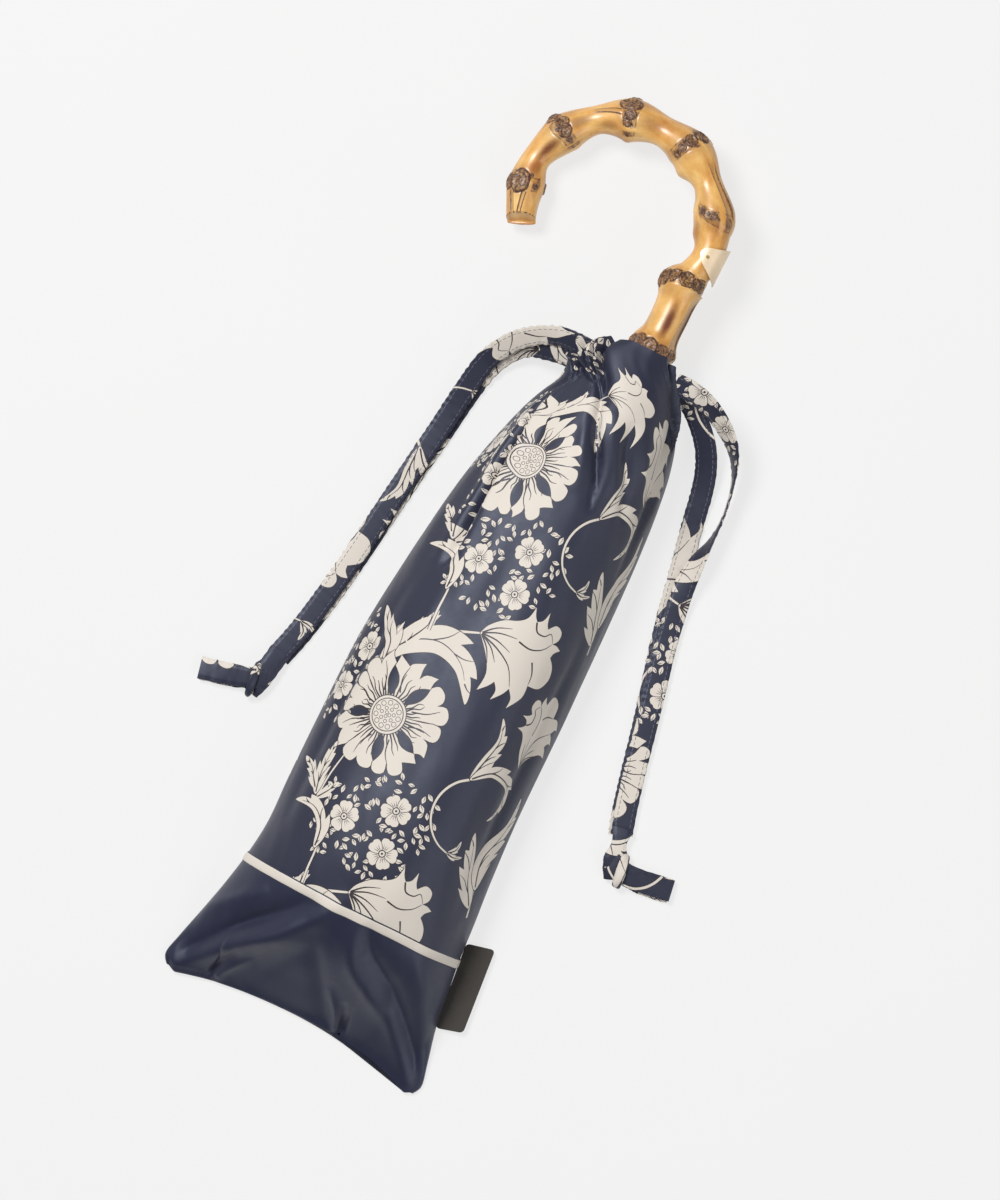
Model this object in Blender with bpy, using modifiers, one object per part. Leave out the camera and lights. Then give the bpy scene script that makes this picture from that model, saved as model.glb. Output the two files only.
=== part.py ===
"""A folding umbrella with a bamboo crook handle, lying on its back in its drawstring pouch.

The shaft runs along +Y, +Z is up and the object lies on z = 0. The origin is on the pouch's flat
underside, below the shaft's axis. Numbers are in millimetres and are turned into metres by MM.
"""

import math

import bmesh
import bpy
from mathutils import Matrix, Vector

MM = 0.001
COLLECTION = "folding_umbrella"
CUTTER_COLLECTION = "cutters"

GAP = 0.3  # the clearance between solids that touch on the real object
SHAFT_Z = 22.5  # height of the shaft's axis above the surface
CROOK_ROLL = math.radians(10.0)  # the crook leans over until its tip lies on the surface

# shaft: three tubes that slide in one another, thickest at the crown
TUBE_WALL = 0.7
INNER_TUBE_R = 3.6
MIDDLE_TUBE_R = 4.6
OUTER_TUBE_R = 5.6
INNER_TUBE_SPAN = (-44.0, 166.0)
MIDDLE_TUBE_SPAN = (-60.0, 135.0)
OUTER_TUBE_SPAN = (-98.0, 130.0)
CATCH_WIDTH = 1.8
SLOT_CLEARANCE = 0.3

# bamboo handle, as stations of x, y and radius along its centreline, from the shank to the tip
CROOK = (
    (0.0, 139.0, 7.6),
    (0.0, 150.0, 8.0),
    (-0.1, 160.7, 10.4),
    (0.2, 168.0, 8.4),
    (0.2, 176.2, 8.2),
    (-0.2, 183.0, 8.5),
    (-0.8, 190.0, 10.1),
    (1.2, 196.5, 7.2),
    (3.0, 205.0, 6.8),
    (1.4, 214.0, 7.1),
    (-2.2, 222.0, 9.0),
    (-10.9, 233.2, 6.3),
    (-22.3, 241.4, 9.4),
    (-37.2, 244.4, 6.8),
    (-51.3, 243.0, 9.2),
    (-64.4, 236.5, 6.3),
    (-74.3, 225.1, 8.4),
    (-79.9, 211.0, 6.2),
    (-79.0, 199.2, 8.1),
    (-76.6, 190.5, 7.0),
    (-74.0, 184.0, 6.3),
)
CROOK_STEPS = 4
BORE_R = INNER_TUBE_R + GAP
BORE_END_Y = INNER_TUBE_SPAN[1] + 1.0
FERRULE_SPAN = (138.4, 149.0)
FERRULE_WALL = 1.0
FERRULE_R = 9.6
HANDLE_PIN_Y = 144.5
HANDLE_PIN_R = 1.0
PLATE_CENTRE = (2.4, 203.5)  # a point of the axis that the plate is bent round
PLATE_TILT = math.radians(50.0)
PLATE_R = 8.4  # outer radius of the bent plate
PLATE_THICKNESS = 0.7
# the plate's outline, as distance along the handle and across its outer side
PLATE_OUTLINE = (
    (8.4, 6.1), (6.9, -0.5), (5.2, -5.6), (3.4, -6.9), (1.0, -6.9), (-1.6, -5.6), (-4.2, -2.6),
    (-6.6, 1.6), (-8.6, 6.1),
)
PLATE_PIN_TILT = math.radians(86.0)
PLATE_PIN_ALONG = 1.5
PLATE_PIN_R = 0.7
PLATE_PIN_LENGTH = 4.0

# folded frame: six ribs in three sections, folded beside one another round the shaft
RIB_COUNT = 6
RIB_FIRST_ANGLE = math.radians(30.0)
STRETCHER = {"radius": 8.4, "width": 2.6, "height": 2.0, "span": (-18.0, 103.0)}
INNER_RIB = {"radius": 11.3, "width": 3.0, "height": 2.4, "span": (-98.0, 76.0)}
MIDDLE_RIB = {"radius": 14.4, "width": 3.0, "height": 2.4, "span": (-94.0, 78.0)}
OUTER_RIB = {"radius": 16.9, "wire": 0.8, "span": (-84.0, 92.0)}
CHANNEL_WALL = 0.5
RUNNER_SPAN = (106.0, 127.0)
CROWN_SPAN = (-108.0, -98.7)
CROWN_R = 12.5

# folded canopy, its strap and the end of the shaft
CANOPY_OUTER_R = 20.5
CANOPY_INNER_R = 18.2
CANOPY_MOUTH_Y = 127.0
STRAP_Y = (48.0, 62.0)
STRAP_R = (20.8, 21.4)
SNAP_Y = 55.0

# pouch, as stations of y, left, right, top, edge height and bottom
POUCH_STATIONS = (
    (158.0, -12.8, 11.9, 35.0, 22.5, 10.0),
    (152.0, -15.0, 14.0, 37.0, 21.5, 8.0),
    (145.0, -24.0, 20.0, 40.0, 16.0, 4.0),
    (136.0, -29.0, 24.5, 43.5, 8.0, 0.5),
    (126.0, -32.5, 28.5, 45.7, 2.0, 0.0),
    (110.0, -39.1, 32.1, 46.0, 1.0, 0.0),
    (80.0, -46.5, 35.2, 46.0, 1.0, 0.0),
    (40.0, -52.1, 37.2, 46.0, 1.0, 0.0),
    (0.0, -55.6, 38.6, 46.0, 1.0, 0.0),
    (-40.0, -55.6, 39.6, 46.0, 1.0, 0.0),
    (-70.0, -55.0, 41.4, 45.8, 1.0, 0.0),
    (-90.0, -54.2, 43.4, 44.6, 1.0, 0.0),
    (-107.0, -55.8, 44.8, 40.4, 1.0, 0.0),
    (-122.0, -58.6, 47.0, 34.0, 1.0, 0.0),
    (-135.0, -62.0, 49.0, 24.5, 1.0, 0.0),
    (-147.0, -65.5, 52.5, 12.5, 1.0, 0.0),
    (-158.0, -67.4, 56.6, 2.0, 1.0, 0.0),
)
POUCH_ARC_STEPS = 16
POUCH_WALL = 0.6
MOUTH_SPAN = (126.4, 158.0)
BODY_SPAN = (-105.4, 126.0)
PIPING_SPAN = (-109.4, -105.8)
PIPING_PROUD = 0.4
HEM_SPAN = (-158.0, -109.8)
HEM_BOW = 7.7  # how far the hem's corners reach past its middle
HEM_BOW_FROM = -118.0
LABEL_OUTLINE = ((45.6, -97.8), (56.4, -95.2), (60.1, -132.6), (50.4, -135.8))
LABEL_THICKNESS = 0.8
LABEL_Z = 1.6

# drawstrings, as stations of x, y, z and the tilt of the flat strand in degrees
STRAND_WIDTH = 9.6
STRAND_THICKNESS = 0.9
STRAND_STEPS = 4
LEFT_UPPER = (
    (-29.8, 148.4, 24.0, 30),
    (-37.5, 147.6, 21.4, 32),
    (-46.6, 143.3, 16.6, 32),
    (-54.7, 135.9, 11.4, 26),
    (-60.4, 124.4, 6.4, 18),
    (-62.9, 108.8, 4.0, 8),
    (-64.8, 91.5, 2.6, 0),
    (-67.1, 72.9, 2.2, 0),
    (-69.4, 53.9, 2.2, 0),
    (-72.1, 31.3, 2.2, 0),
    (-75.1, 9.5, 2.2, 0),
    (-78.7, -11.2, 2.2, 0),
    (-82.4, -25.6, 2.2, 0),
)
LEFT_LOWER = (
    (-31.6, 141.6, 16.5, 30),
    (-37.8, 140.6, 13.4, 30),
    (-47.0, 138.0, 9.0, 28),
    (-54.0, 131.0, 5.6, 22),
    (-58.6, 121.0, 3.0, 12),
    (-61.2, 107.0, 1.4, 4),
    (-63.3, 90.0, 0.8, 0),
    (-65.8, 71.6, 0.8, 0),
    (-68.2, 52.4, 0.8, 0),
    (-70.9, 30.2, 0.8, 0),
    (-73.9, 8.4, 0.8, 0),
    (-77.7, -12.2, 0.8, 0),
    (-81.4, -26.4, 0.8, 0),
)
RIGHT_OUTER = (
    (23.4, 151.6, 26.0, -20),
    (33.9, 149.0, 22.0, -35),
    (44.6, 142.7, 17.0, -50),
    (52.0, 134.7, 12.5, -70),
    (56.6, 124.0, 8.4, -86),
    (58.9, 112.0, 6.4, -88),
    (59.0, 100.6, 6.0, -78),
    (57.8, 90.2, 6.0, -46),
    (57.6, 78.0, 3.9, -14),
    (59.6, 64.5, 2.4, 0),
    (62.2, 50.8, 2.2, 0),
    (66.3, 33.9, 2.2, 0),
    (70.3, 17.0, 2.2, 0),
    (74.1, 0.2, 2.2, 0),
    (78.3, -16.5, 2.2, 0),
    (81.6, -27.6, 2.2, 0),
)
RIGHT_INNER = (
    (23.6, 147.6, 18.0, -24),
    (31.4, 142.0, 13.0, -22),
    (38.6, 134.4, 8.4, -16),
    (43.4, 125.6, 4.6, -10),
    (46.2, 116.4, 2.2, -4),
    (48.2, 106.2, 1.2, 0),
    (50.8, 94.0, 0.8, 0),
    (53.8, 80.0, 0.8, 0),
    (56.9, 65.2, 0.8, 0),
    (60.6, 49.2, 0.8, 0),
    (65.0, 32.6, 0.8, 0),
    (69.4, 15.4, 0.8, 0),
    (73.4, -1.6, 0.8, 0),
    (77.6, -18.2, 0.8, 0),
    (80.8, -28.4, 0.8, 0),
)
KNOT_THICKNESS = 4.4
KNOT_Z = 2.5
LEFT_KNOT = (
    (-88.2, -31.0), (-80.6, -31.0), (-79.8, -39.3), (-86.0, -47.2),
    (-94.1, -46.2), (-107.9, -50.0), (-110.2, -40.5), (-98.4, -39.0), (-93.6, -34.6),
)
RIGHT_KNOT = (
    (78.6, -34.0), (88.0, -32.0), (96.4, -36.3), (111.5, -34.5),
    (111.6, -44.6), (99.1, -46.7), (88.8, -47.8), (82.6, -45.5),
)

# colour, roughness and metallic value of each material
FINISHES = {
    "bamboo": ((0.74, 0.37, 0.09), 0.32, 0.0),
    "gold": ((0.78, 0.62, 0.30), 0.30, 1.0),
    "steel": ((0.62, 0.63, 0.65), 0.35, 1.0),
    "black_plastic": ((0.02, 0.02, 0.022), 0.45, 0.0),
    "print_fabric": ((0.05, 0.055, 0.09), 0.62, 0.0),
    "navy_fabric": ((0.04, 0.043, 0.075), 0.60, 0.0),
    "cream_fabric": ((0.72, 0.67, 0.59), 0.70, 0.0),
    "label_fabric": ((0.045, 0.042, 0.035), 0.80, 0.0),
}

SHAFT = Matrix.Translation((0.0, 0.0, SHAFT_Z * MM)) @ Matrix.Rotation(-math.pi / 2, 4, "X")


def clear_scene():
    for obj in list(bpy.data.objects):
        bpy.data.objects.remove(obj, do_unlink=True)


def make_collection(name):
    collection = bpy.data.collections.new(name)
    bpy.context.scene.collection.children.link(collection)
    return collection


def make_material(name, finish):
    colour, roughness, metallic = FINISHES[finish]
    material = bpy.data.materials.new(name)
    material.use_nodes = True
    shader = material.node_tree.nodes["Principled BSDF"]
    shader.inputs["Base Color"].default_value = (*colour, 1.0)
    shader.inputs["Roughness"].default_value = roughness
    shader.inputs["Metallic"].default_value = metallic
    material.diffuse_color = (*colour, 1.0)
    return material


def add_part(name, data, finish, matrix=None):
    """A new object of the part, with a material of its own."""
    obj = bpy.data.objects.new(name, data)
    data.materials.append(make_material(name, finish))
    if matrix is not None:
        obj.matrix_world = matrix
    bpy.data.collections[COLLECTION].objects.link(obj)
    return obj


def add_cutter(name, mesh, matrix):
    obj = bpy.data.objects.new(name, mesh)
    obj.matrix_world = matrix
    obj.hide_render = True
    obj.display_type = "WIRE"
    bpy.data.collections[CUTTER_COLLECTION].objects.link(obj)
    return obj


def cut(obj, cutter):
    modifier = obj.modifiers.new("cut_" + cutter.name, "BOOLEAN")
    modifier.operation = "DIFFERENCE"
    modifier.solver = "EXACT"
    modifier.object = cutter


def keep_inside(obj, cutter):
    modifier = obj.modifiers.new("keep_inside_" + cutter.name, "BOOLEAN")
    modifier.operation = "INTERSECT"
    modifier.solver = "EXACT"
    modifier.object = cutter


def mesh_of(name, vertices, faces):
    """A mesh from points in millimetres, with its faces turned outwards."""
    mesh = bpy.data.meshes.new(name)
    mesh.from_pydata([tuple(c * MM for c in v) for v in vertices], [], faces)
    shape = bmesh.new()
    shape.from_mesh(mesh)
    bmesh.ops.recalc_face_normals(shape, faces=shape.faces)
    shape.to_mesh(mesh)
    shape.free()
    return mesh


def smooth(mesh, angle=40.0):
    mesh.shade_smooth()
    mesh.set_sharp_from_angle(angle=math.radians(angle))


def cylinder_mesh(name, radius, length, sides=16):
    """A cylinder along its own Z, in millimetres."""
    mesh = bpy.data.meshes.new(name)
    shape = bmesh.new()
    bmesh.ops.create_cone(
        shape,
        cap_ends=True,
        segments=sides,
        radius1=radius * MM,
        radius2=radius * MM,
        depth=length * MM,
    )
    shape.to_mesh(mesh)
    shape.free()
    smooth(mesh)
    return mesh


def box_mesh(name, size):
    mesh = bpy.data.meshes.new(name)
    shape = bmesh.new()
    bmesh.ops.create_cube(shape, size=1.0)
    bmesh.ops.scale(shape, vec=Vector(size) * MM, verts=shape.verts)
    shape.to_mesh(mesh)
    shape.free()
    return mesh


def turned(name, profile, finish, steps=24, ring=True):
    """A turned piece on the shaft's axis. The profile holds radius and y, down its outer side first."""
    count = len(profile)
    edges = [(i, (i + 1) % count) for i in range(count if ring else count - 1)]
    mesh = bpy.data.meshes.new(name)
    mesh.from_pydata([(r * MM, 0.0, y * MM) for r, y in profile], edges, [])
    obj = add_part(name, mesh, finish, SHAFT)
    screw = obj.modifiers.new("turn", "SCREW")
    screw.axis = "Z"
    screw.steps = steps
    screw.render_steps = steps
    screw.use_merge_vertices = True
    screw.merge_threshold = 0.00001
    screw.use_smooth_shade = True
    return obj


def tube(name, outer, inner, span, finish, steps=24):
    low, high = span
    return turned(name, ((outer, high), (outer, low), (inner, low), (inner, high)), finish, steps)


def catmull_rom(points, steps):
    """Points on a smooth curve through the given ones, which may hold any number of values each."""
    path = []
    last = len(points) - 1
    for i in range(last):
        p0 = points[max(i - 1, 0)]
        p1, p2 = points[i], points[i + 1]
        p3 = points[min(i + 2, last)]
        for step in range(steps):
            t = step / steps
            path.append(tuple(
                0.5 * (2 * b + (c - a) * t + (2 * a - 5 * b + 4 * c - d) * t**2
                       + (3 * b - a - 3 * c + d) * t**3)
                for a, b, c, d in zip(p0, p1, p2, p3)
            ))
    path.append(tuple(points[-1]))
    return path


def crook_z(x):
    return SHAFT_Z + x * math.tan(CROOK_ROLL)


def bamboo_handle():
    """The crook: one swelling tube along its centreline, bored for the shaft."""
    stations = catmull_rom(CROOK, CROOK_STEPS)
    curve = bpy.data.curves.new("bamboo_curve", "CURVE")
    curve.dimensions = "3D"
    curve.bevel_depth = MM
    curve.bevel_resolution = 4
    curve.use_fill_caps = True
    spline = curve.splines.new("POLY")
    spline.points.add(len(stations) - 1)
    for point, (x, y, radius) in zip(spline.points, stations):
        point.co = (x * MM, y * MM, crook_z(x) * MM, 1.0)
        point.radius = radius
    guide = bpy.data.objects.new("bamboo_curve", curve)
    bpy.data.collections[CUTTER_COLLECTION].objects.link(guide)
    graph = bpy.context.evaluated_depsgraph_get()
    mesh = bpy.data.meshes.new_from_object(guide.evaluated_get(graph))
    bpy.data.objects.remove(guide, do_unlink=True)
    shape = bmesh.new()
    shape.from_mesh(mesh)
    bmesh.ops.remove_doubles(shape, verts=shape.verts, dist=0.00001)
    bmesh.ops.recalc_face_normals(shape, faces=shape.faces)
    shape.to_mesh(mesh)
    shape.free()
    smooth(mesh)
    mesh.name = "bamboo_handle"
    handle = add_part("bamboo_handle", mesh, "bamboo")
    bore_start = CROOK[0][1] - 2.0
    bore = cylinder_mesh("handle_bore", BORE_R, BORE_END_Y - bore_start, 20)
    place = SHAFT @ Matrix.Translation((0.0, 0.0, (BORE_END_Y + bore_start) / 2 * MM))
    cut(handle, add_cutter("handle_bore", bore, place))
    return handle


def handle_fittings(handle):
    """The ferrule round the shank, and the pin that holds handle, ferrule and shaft together."""
    ferrule = tube("handle_ferrule", FERRULE_R, FERRULE_R - FERRULE_WALL, FERRULE_SPAN, "gold")
    inner_tube = tube(
        "inner_tube", INNER_TUBE_R, INNER_TUBE_R - TUBE_WALL, INNER_TUBE_SPAN, "steel", 20
    )
    across = Matrix.Translation((0.0, HANDLE_PIN_Y * MM, SHAFT_Z * MM))
    across = across @ Matrix.Rotation(math.pi / 2, 4, "Y")
    hole = cylinder_mesh("handle_pin_hole", HANDLE_PIN_R + GAP, 4 * FERRULE_R, 12)
    hole_cutter = add_cutter("handle_pin_hole", hole, across)
    for obj in (handle, ferrule, inner_tube):
        cut(obj, hole_cutter)
    pin = cylinder_mesh("handle_pin", HANDLE_PIN_R, 2 * FERRULE_R, 12)
    add_part("handle_pin", pin, "steel", across)
    return inner_tube


def plate_matrix(tilt, along, offset):
    """A frame whose Z points away from the bamboo, at this tilt, place along it and distance."""
    x, y = PLATE_CENTRE
    out = Vector((math.cos(tilt), 0.0, math.sin(tilt)))
    ahead = Vector((0.0, 1.0, 0.0))
    turn = Matrix((ahead, ahead.cross(out), out)).transposed().to_4x4()
    centre = Vector((x, y + along, crook_z(x))) + out * offset
    return Matrix.Translation(centre * MM) @ turn


def handle_plate(handle):
    """A small half-oval plate, bent round the outer side of the handle and pinned to it."""
    depth = PLATE_R + 1.0
    curve = flat_outline("handle_plate", catmull_rom(PLATE_OUTLINE, 3), depth)
    place = plate_matrix(PLATE_TILT, 0.0, 2.0 + depth / 2)
    plate = curve_to_mesh_part("handle_plate", curve, "gold", place)
    length = 4 * PLATE_R
    axis = plate_matrix(0.0, 0.0, 0.0) @ Matrix.Rotation(math.pi / 2, 4, "Y")
    blank = cylinder_mesh("plate_blank", PLATE_R, length, 48)
    inner = cylinder_mesh("plate_inner", PLATE_R - PLATE_THICKNESS, length, 48)
    keep_inside(plate, add_cutter("plate_blank", blank, axis))
    cut(plate, add_cutter("plate_inner", inner, axis))
    hole = cylinder_mesh("plate_pin_hole", PLATE_PIN_R + GAP, 2 * PLATE_PIN_LENGTH, 12)
    cutter = add_cutter(
        "plate_pin_hole", hole, plate_matrix(PLATE_PIN_TILT, PLATE_PIN_ALONG, PLATE_R)
    )
    cut(plate, cutter)
    cut(handle, cutter)
    pin = cylinder_mesh("plate_pin", PLATE_PIN_R, PLATE_PIN_LENGTH, 12)
    place = plate_matrix(PLATE_PIN_TILT, PLATE_PIN_ALONG, PLATE_R + 0.4 - PLATE_PIN_LENGTH / 2)
    add_part("plate_pin", pin, "gold", place)


def flat_outline(name, outline, thickness):
    """A filled 2D curve round the outline, extruded to the thickness."""
    curve = bpy.data.curves.new(name, "CURVE")
    curve.dimensions = "2D"
    curve.fill_mode = "BOTH"
    curve.extrude = thickness / 2 * MM
    spline = curve.splines.new("POLY")
    spline.points.add(len(outline) - 1)
    for point, (x, y) in zip(spline.points, outline):
        point.co = (x * MM, y * MM, 0.0, 1.0)
    spline.use_cyclic_u = True
    return curve


def curve_to_mesh_part(name, curve, finish, matrix):
    """A mesh object from the curve, so that it can be cut."""
    guide = bpy.data.objects.new(name + "_guide", curve)
    bpy.data.collections[CUTTER_COLLECTION].objects.link(guide)
    graph = bpy.context.evaluated_depsgraph_get()
    mesh = bpy.data.meshes.new_from_object(guide.evaluated_get(graph))
    bpy.data.objects.remove(guide, do_unlink=True)
    shape = bmesh.new()
    shape.from_mesh(mesh)
    bmesh.ops.remove_doubles(shape, verts=shape.verts, dist=0.00001)
    bmesh.ops.recalc_face_normals(shape, faces=shape.faces)
    shape.to_mesh(mesh)
    shape.free()
    return add_part(name, mesh, finish, matrix)


def catch(name, tube_object, tube_radius, reach, span):
    """A sprung button that stands out of a slot in its tube, on the side towards +X."""
    low, high = span
    depth = tube_radius - 1.6 + reach
    centre = Vector((1.6 + depth / 2, (low + high) / 2, SHAFT_Z))
    size = (depth, high - low, CATCH_WIDTH)
    slot_size = (3 * TUBE_WALL, size[1] + 2 * SLOT_CLEARANCE, size[2] + 2 * SLOT_CLEARANCE)
    slot_centre = Vector((tube_radius, centre.y, SHAFT_Z))
    slot = box_mesh(name + "_slot", slot_size)
    cut(tube_object, add_cutter(name + "_slot", slot, Matrix.Translation(slot_centre * MM)))
    add_part(name, box_mesh(name, size), "steel", Matrix.Translation(centre * MM))


def shaft(inner_tube):
    """The other two tubes, and a sprung catch in each of the three."""
    middle = tube(
        "middle_tube", MIDDLE_TUBE_R, MIDDLE_TUBE_R - TUBE_WALL, MIDDLE_TUBE_SPAN, "steel", 20
    )
    outer = tube(
        "outer_tube", OUTER_TUBE_R, OUTER_TUBE_R - TUBE_WALL, OUTER_TUBE_SPAN, "steel", 24
    )
    catch("inner_tube_catch", inner_tube, INNER_TUBE_R, 0.15, (-42.0, -37.0))
    catch("middle_tube_catch", middle, MIDDLE_TUBE_R, 0.15, (-57.0, -51.0))
    catch("runner_catch", outer, OUTER_TUBE_R, 1.4, (-82.0, -74.0))


def runner_and_crown():
    """The sliding runner at the handle end, the fixed crown at the other, and their tie wires."""
    low, high = RUNNER_SPAN
    bore = OUTER_TUBE_R + GAP
    flange_r = 12.0
    sleeve_r = 8.0
    flange_top = low + 6.0
    turned("runner", (
        (sleeve_r, high), (sleeve_r, flange_top), (flange_r, flange_top), (flange_r, low),
        (bore, low), (bore, high),
    ), "black_plastic")
    low, high = CROWN_SPAN
    turned("crown", (
        (sleeve_r, high), (CROWN_R, high - 1.0), (CROWN_R, low + 1.0), (CROWN_R - 1.0, low),
        (bore, low), (bore, high),
    ), "black_plastic")
    tie_wire("runner_wire", 8.4, RUNNER_SPAN[0] - 1.2)
    tie_wire("crown_wire", 15.0, -96.6)


def tie_wire(name, radius, y, wire=0.5):
    """A ring of wire round the shaft."""
    bpy.ops.mesh.primitive_torus_add(
        major_segments=24, minor_segments=6, major_radius=radius * MM, minor_radius=wire * MM
    )
    mesh = bpy.context.object.data
    bpy.data.objects.remove(bpy.context.object, do_unlink=True)
    smooth(mesh)
    add_part(name, mesh, "steel", SHAFT @ Matrix.Translation((0.0, 0.0, y * MM)))


def channel_outline(width, height):
    """A U section, open towards the shaft."""
    w, h, t = width / 2, height / 2, CHANNEL_WALL
    return ((-w, -h), (w, -h), (w, h), (w - t, h), (w - t, t - h), (t - w, t - h), (t - w, h), (-w, h))


def on_shaft(angle, radius, y):
    """A frame beside the shaft at this angle, whose Z runs along it and whose Y points inwards."""
    place = Matrix.Translation((0.0, y * MM, SHAFT_Z * MM))
    place = place @ Matrix.Rotation(angle, 4, "Y") @ Matrix.Translation((0.0, 0.0, radius * MM))
    return place @ Matrix.Rotation(-math.pi / 2, 4, "X")


def channel(name, bar, angle):
    low, high = bar["span"]
    outline = channel_outline(bar["width"], bar["height"])
    curve = flat_outline(name, outline, high - low)
    add_part(name, curve, "steel", on_shaft(angle, bar["radius"], (low + high) / 2))


def folded_ribs():
    """Each of the six ribs folds into three: its stretcher and its inner, middle and outer sections."""
    for index in range(RIB_COUNT):
        angle = RIB_FIRST_ANGLE + 2 * math.pi * index / RIB_COUNT
        number = str(index + 1)
        channel("stretcher_" + number, STRETCHER, angle)
        channel("inner_rib_" + number, INNER_RIB, angle)
        channel("middle_rib_" + number, MIDDLE_RIB, angle)
        low, high = OUTER_RIB["span"]
        wire = cylinder_mesh("outer_rib_" + number, OUTER_RIB["wire"], high - low, 8)
        place = on_shaft(angle, OUTER_RIB["radius"], (low + high) / 2)
        add_part("outer_rib_" + number, wire, "steel", place)


def canopy_and_tip():
    """The folded canopy, open towards the handle, and the washer and cap that close its crown end."""
    turned("canopy_folded", (
        (CANOPY_OUTER_R, CANOPY_MOUTH_Y), (CANOPY_OUTER_R, -90.0), (14.5, -110.0), (5.0, -111.2),
        (5.0, -109.4), (13.4, -108.4), (15.6, -98.5), (CANOPY_INNER_R, -87.5),
        (CANOPY_INNER_R, CANOPY_MOUTH_Y),
    ), "print_fabric", 28)
    turned("tip_washer", ((9.0, -111.7), (9.0, -112.5), (5.0, -112.5), (5.0, -111.7)), "steel", 20)
    turned("tip_cap", (
        (0.0, -108.6), (4.5, -108.6), (4.5, -112.9), (8.5, -112.9), (8.2, -117.0), (6.0, -120.2),
        (0.0, -121.4),
    ), "black_plastic", 20, ring=False)


def closing_strap():
    """The band that holds the folded canopy, with its press stud on the left."""
    strap = tube("closing_strap", STRAP_R[1], STRAP_R[0], STRAP_Y, "print_fabric", 28)
    hole = cylinder_mesh("stud_hole", 2.0, 6.0, 16)
    left = Matrix.Translation((-STRAP_R[1] * MM, SNAP_Y * MM, SHAFT_Z * MM))
    left = left @ Matrix.Rotation(-math.pi / 2, 4, "Y")
    cut(strap, add_cutter("stud_hole", hole, left))
    socket_place = left @ Matrix.Translation((0.0, 0.0, 0.4 * MM))
    add_part("stud_socket", cylinder_mesh("stud_socket", 1.7, 0.8, 16), "gold", socket_place)
    cap_place = left @ Matrix.Translation((0.0, 0.0, 1.6 * MM))
    add_part("stud_cap", cylinder_mesh("stud_cap", 4.0, 0.9, 20), "gold", cap_place)


def pouch_values(y):
    """Left, right, top, edge height and bottom of the pouch at this y."""
    rows = POUCH_STATIONS
    for upper, lower in zip(rows, rows[1:]):
        if y >= lower[0]:
            t = (upper[0] - y) / (upper[0] - lower[0])
            return [a + (b - a) * t for a, b in zip(upper[1:], lower[1:])]
    return list(rows[-1][1:])


def bow(x, y):
    """How far the hem's corners are drawn out past its middle."""
    depth = min(max((HEM_BOW_FROM - y) / (HEM_BOW_FROM - HEM_SPAN[0]), 0.0), 1.0)
    return HEM_BOW * depth**2 * min(abs(x) / 62.0, 1.0)**2.5


def pouch_ring(y, proud=0.0):
    """The pouch's section: along its underside, then back over the top."""
    left, right, top, edge, bottom = pouch_values(y)
    under, over = [], []
    for step in range(POUCH_ARC_STEPS + 1):
        angle = math.pi * (1 - step / POUCH_ARC_STEPS)
        reach = math.cos(angle)
        x = reach * ((right if reach > 0 else -left) + proud)
        lift = math.sin(angle)
        station = y - bow(x, y)
        under.append((x, station, (edge - 1) - (edge - 1 - bottom) * lift))
        over.append((x, station, (edge + 1) + (top + proud - edge - 1) * lift))
    return under + over[::-1]


def pouch_shell(name, span, rows, finish, closed=False, proud=0.0, wall=POUCH_WALL):
    """A stretch of the pouch, lofted through its sections and given its wall inwards."""
    low, high = span
    rings = [pouch_ring(high + (low - high) * i / rows, proud) for i in range(rows + 1)]
    count = len(rings[0])
    vertices = [v for ring in rings for v in ring]
    faces = []
    for row in range(rows):
        for i in range(count):
            j = (i + 1) % count
            faces.append((row * count + i, row * count + j, (row + 1) * count + j, (row + 1) * count + i))
    if closed:
        start = rows * count
        for i in range(POUCH_ARC_STEPS):
            faces.append((start + i, start + i + 1, start + count - 2 - i, start + count - 1 - i))
    mesh = mesh_of(name, vertices, faces)
    smooth(mesh)
    obj = add_part(name, mesh, finish)
    shell = obj.modifiers.new("wall", "SOLIDIFY")
    shell.thickness = wall * MM
    shell.offset = -1.0
    return obj


def pouch():
    """The pouch: gathered mouth, printed body, cream piping, plain hem panel and its woven label."""
    pouch_shell("pouch_mouth", MOUTH_SPAN, 8, "print_fabric")
    pouch_shell("pouch_body", BODY_SPAN, 14, "print_fabric")
    pouch_shell("pouch_piping", PIPING_SPAN, 1, "cream_fabric", proud=PIPING_PROUD, wall=0.9)
    pouch_shell("pouch_hem", HEM_SPAN, 8, "navy_fabric", closed=True)
    label = flat_outline("pouch_label", LABEL_OUTLINE, LABEL_THICKNESS)
    add_part("pouch_label", label, "label_fabric", Matrix.Translation((0.0, 0.0, LABEL_Z * MM)))


def strand(name, route):
    """A flat drawstring strand: a ribbon along its route, turned by the tilt of each station."""
    stations = catmull_rom(route, STRAND_STEPS)
    points = [Vector(s[:3]) for s in stations]
    vertices = []
    for i, station in enumerate(stations):
        ahead = points[min(i + 1, len(points) - 1)] - points[max(i - 1, 0)]
        side = ahead.cross(Vector((0.0, 0.0, 1.0))).normalized()
        tilt = math.radians(station[3])
        across = side * math.cos(tilt) + side.cross(ahead.normalized()) * math.sin(tilt)
        for end in (-0.5, 0.5):
            vertices.append(points[i] + across * end * STRAND_WIDTH)
    faces = [(2 * i, 2 * i + 1, 2 * i + 3, 2 * i + 2) for i in range(len(points) - 1)]
    mesh = mesh_of(name, vertices, faces)
    obj = add_part(name, mesh, "print_fabric")
    cloth = obj.modifiers.new("cloth", "SOLIDIFY")
    cloth.thickness = STRAND_THICKNESS * MM
    cloth.offset = 0.0


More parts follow.
